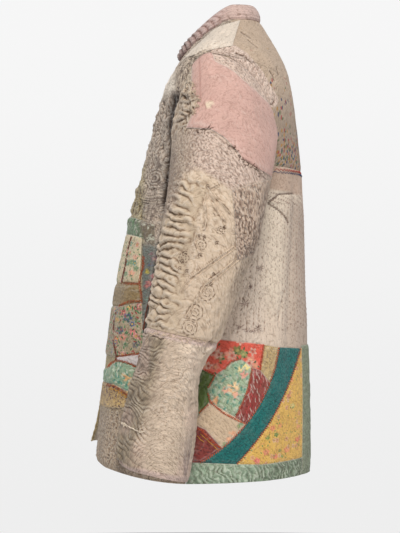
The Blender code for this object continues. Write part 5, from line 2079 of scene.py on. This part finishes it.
def walked(path, step):
    """Places along a path, a step apart, each with the way it runs there."""
    corners = np.array(path, float)
    ways = np.diff(corners, axis=0)
    lengths = np.linalg.norm(ways, axis=1)
    ends = np.cumsum(lengths)
    found = []
    for reach in np.arange(step / 2, ends[-1], step):
        k = int(np.searchsorted(ends, reach))
        share = (reach - ends[k] + lengths[k]) / lengths[k]
        found.append((corners[k] + share * ways[k], ways[k] / lengths[k]))
    return found


def thread_material(name, colour):
    """A twisted cotton thread, with lighter and darker stretches."""
    material, dye, shader = new_material(name)
    place = dye.node("ShaderNodeTexCoord").outputs["Object"]
    fade = dye.eased(dye.noise(place, 140.0), 0.3, 0.7, 0.72, 1.18)
    dye.feed(shader["Base Color"], dye.scaled(tuple(dyed(*colour)), fade))
    twist = dye.noise(place, 1900.0, 1.0)
    bump = dye.node("ShaderNodeBump", {"Strength": 0.5, "Distance": 0.0003, "Height": twist})
    dye.feed(shader["Normal"], bump.outputs["Normal"])
    shader["Roughness"].default_value = 0.75
    shader["Specular IOR Level"].default_value = 0.3
    return material


ORANGE_EDGES = (  # thick edging on the left front
    mm(-129, -376, -130, -394, -134, -408, -136, -420, -133, -435, -132, -450),
    mm(-167, -420, -151, -421, -136, -421),
    mm(-171, -458, -161, -453, -150, -449, -134, -449),
    mm(-172, -539, -160, -537, -147, -535, -132, -533),
    mm(-190, -559, -182, -551, -172, -546, -160, -548, -149, -551, -139, -557),
    mm(-192, -588, -182, -587, -174, -589, -165, -594, -156, -600, -151, -601),
)
RED_BROWN_EDGES = (
    mm(-150, -343, -155, -360, -158, -379, -162, -399, -166, -419),
    mm(-108, -394, -112, -419, -116, -433, -120, -450, -125, -469, -129, -496),
    mm(-174, -462, -179, -485, -180, -510, -177, -524, -173, -540, -175, -546),
)
BLOCK_PIPING = (
    mm(-25, -595, -20, -610, 1, -627, 20, -637, 35, -644),
    mm(-41, -628, -33, -620, -23, -612),
    mm(-29, -558, -18, -564, -13, -566, -25, -587),
    mm(46, -556, 38, -593, 19, -634),
    mm(-44, -650, -34, -654, -25, -665, -12, -677, -5, -681),
    mm(65, -518, 59, -560),
    MINT_TOP,
)
PINK_FRAYS = (
    mm(-45, -180, -20, -180.5),
    mm(6, -203, 18, -217, 30, -232),
    mm(29, -235, 46, -239, 59, -251),
)
PINK_FRONT_EDGE = mm(-50, -100, -50, -116, -41, -133, -50, -158)
CUFF_THREAD = mm(-158, -637, -151, -637, -143, -642, -135, -644, -129, -647, -121, -645)
STARS = ((0.059, -0.396, 0.008), (0.034, -0.452, 0.008), (0.056, -0.492, 0.008), (0.044, -0.425, 0.005))
BACK_EDGE = 0.166  # how far the yoke's zigzags reach to each side of the back


def on_plain_back(hit):
    return not (hit.x > 0 and hit.z < -0.497) and hit.z < -0.272


def sew():
    """All the threads, as lists under the cloth that each is sewn on."""
    orange = Threads("orange_thread", (190, 84, 50), 0.0014)
    rope = Threads("orange_edging", (172, 84, 50), 0.0010)
    brown = Threads("red_brown_thread", (122, 64, 44), 0.0012)
    dark = Threads("dark_thread", (122, 98, 86), 0.0009)
    ochre = Threads("ochre_thread", (206, 150, 62), 0.0011)
    red, navy = Threads("red_thread", (170, 70, 58), 0.0009), Threads("navy_thread", (66, 74, 104), 0.0009)
    for edge in (WHOLE_INNER, WHOLE_OUTER):
        orange.row(edge, 0.0036, 0.0016, 0.0007)
    for edge in BLOCK_PIPING:
        orange.row(edge, 0.0026, 0.0014, 0.0006)
    for edge in ORANGE_EDGES:
        rope.row(edge, 0.0023, 0.0019, 0.0017)
    for edge in RED_BROWN_EDGES:
        brown.row(edge, 0.0020, 0.0013, 0.0010)
    ochre.zigzag([(y + 0.001, z - 0.005) for y, z in ORANGE_EDGES[-1]], 0.0032, 0.0018)
    gold = Threads("gold_thread", (206, 150, 62), 0.0011)
    gold.dashes(mm(-37, -659, -26, -669, -17, -677, -9, -685), 0.0032, 0.0030)
    gold.dashes(mm(-42, -662, -37, -668, -31, -672), 0.0030, 0.0028)
    yoke_foot = ((-BACK_EDGE, -0.236), (BACK_EDGE, -0.236))
    red.zigzag(yoke_foot, 0.0042, 0.0017, behind=True)
    navy.zigzag([(x, z - 0.0042) for x, z in yoke_foot], 0.0046, 0.0014, behind=True)
    for crease in BACK_CREASES[:2]:
        dark.row(crease, 0.0032, 0.0011, 0.0004)
    russet = Threads("back_thread", (158, 128, 116), 0.0008)
    russet.quilting(BACK, 0.0092, 0.0092, 0.0021, (0.05, YOKE_SEAM), on_plain_back)
    plum = Threads("plum_thread", (142, 116, 108), 0.0007)
    for y, z, reach in STARS:
        plum.star(y, z, reach)
    plum.fray(mm(18, -486, 34, -496, 52, -500), 0.004, 0.009)
    umber = Threads("umber_thread", (112, 88, 70), 0.0008)
    for y, z in KNOTS:
        umber.crescent(y, z, PLUCK.uniform(0.0026, 0.0042))
    # dark cords between the raised lines, partly a painted shadow of them
    for path in ACCENTS:
        umber.cord(path)
    for y, z, radius in ROSETTES[:7]:
        umber.ring(y, z, radius * 0.40, 5)
        umber.ring(y, z, radius * 0.85, 9)
    cream = Threads("cream_thread", (206, 184, 160), 0.0012, 1)
    for path in SPRAY:
        cream.cord(path)
        cream.cord([(y + 0.0034, z - 0.0030) for y, z in path])
    worn = Threads("frayed_thread", (96, 70, 56), 0.0008)
    for path in PINK_FRAYS:
        worn.fray(path, 0.0030, 0.008)
    cream.fray(PINK_FRONT_EDGE, 0.0022, 0.007)
    pale = Threads("pale_thread", (232, 216, 194), 0.0015, 1)
    pale.cord(CUFF_THREAD, 1.6, 0.002)
    pale.fray(mm(-160, -636, -154, -638), 0.001, 0.006)
    cream.fray(mm(-120, -497, -70, -503, -19, -510), 0.0034, 0.007)
    spools = {
        "back_lower": (orange, dark, russet, plum, gold),
        "back_yoke": (red, navy),
        "front_left": (rope, brown, ochre),
        "sleeve_upper_left": (umber, cream, worn),
        "sleeve_lower_left": (pale,),
    }
    return {ground: [spool.sewn() for spool in held] for ground, held in spools.items()}


threads = sew()


# ---------------------------------------------------------------------------------------- camera and light

CAMERA_PLACE = (3.1, -0.0374, -0.3927)
LENS = 123.16
FLOOR = -1.5


def camera():
    made = bpy.data.objects.new("camera", bpy.data.cameras.new("camera"))
    made.data.lens, made.data.sensor_width = LENS, 36
    made.location, made.rotation_euler = CAMERA_PLACE, (math.radians(90), 0, math.radians(90))
    bpy.context.scene.collection.objects.link(made)
    bpy.context.scene.camera = made


def lamp(name, place, aim, size, strength, colour=(1, 1, 1)):
    made = bpy.data.objects.new(name, bpy.data.lights.new(name, "AREA"))
    made.data.shape, made.data.size, made.data.energy, made.data.color = "DISK", size, strength, colour
    made.location = place
    made.rotation_euler = (Vector(aim) - Vector(place)).to_track_quat("-Z", "Y").to_euler()
    bpy.context.scene.collection.objects.link(made)


def studio():
    bm = bmesh.new()
    bmesh.ops.create_circle(bm, cap_ends=True, segments=96, radius=4.5)
    bmesh.ops.translate(bm, verts=bm.verts[:], vec=(0, 0, FLOOR))
    mesh = bpy.data.meshes.new("floor")
    bm.to_mesh(mesh)
    bm.free()
    floor = bpy.data.objects.new("floor", mesh)
    bpy.context.scene.collection.objects.link(floor)
    paper, _, shader = new_material("pale floor")
    shader["Base Color"].default_value = (0.83, 0.83, 0.83, 1)
    shader["Roughness"].default_value = 0.9
    mesh.materials.append(paper)

    world = bpy.data.worlds.new("studio")
    bpy.context.scene.world = world
    world.use_nodes = True
    dye = Dye(world.node_tree)
    _, _, up = dye.split(dye.node("ShaderNodeTexCoord").outputs["Generated"])
    backdrop = dye.mix(dye.eased(up, -0.15, 0.15), (0.855, 0.855, 0.855, 1), (0.925, 0.925, 0.925, 1))
    seen = dye.node("ShaderNodeLightPath").outputs["Is Camera Ray"]
    background = world.node_tree.nodes["Background"]
    dye.feed(background.inputs["Color"], dye.mix(seen, (0.50, 0.50, 0.51, 1), backdrop))
    lamp("key", (2.5, 0.0, 1.9), (0, 0, -0.4), 1.0, 84, (1, 0.985, 0.96))
    lamp("back", (0.8, 3.0, 0.6), (0, 0, -0.4), 1.5, 12)
    lamp("fill", (-2.4, -2.2, 0.6), (0, 0, -0.4), 2.0, 26)


camera()
studio()
bpy.context.scene.view_settings.view_transform = "Standard"


# ------------------------------------------------------------------------------------------ joining the pieces to the root, and hiding the solids they stand for

STANDS_FOR = {  # a whole upper sleeve is one cloth over two solids
    "sleeve_upper_left": ("sleeve_head_left", "sleeve_upper_left"),
    "sleeve_upper_right": ("sleeve_head_right", "sleeve_upper_right"),
}
for name, piece in pieces.items():
    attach(piece, "root")
    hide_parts(*STANDS_FOR.get(name, (name,)))
for ground, spools in threads.items():
    for thread in spools:
        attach(thread, "root")
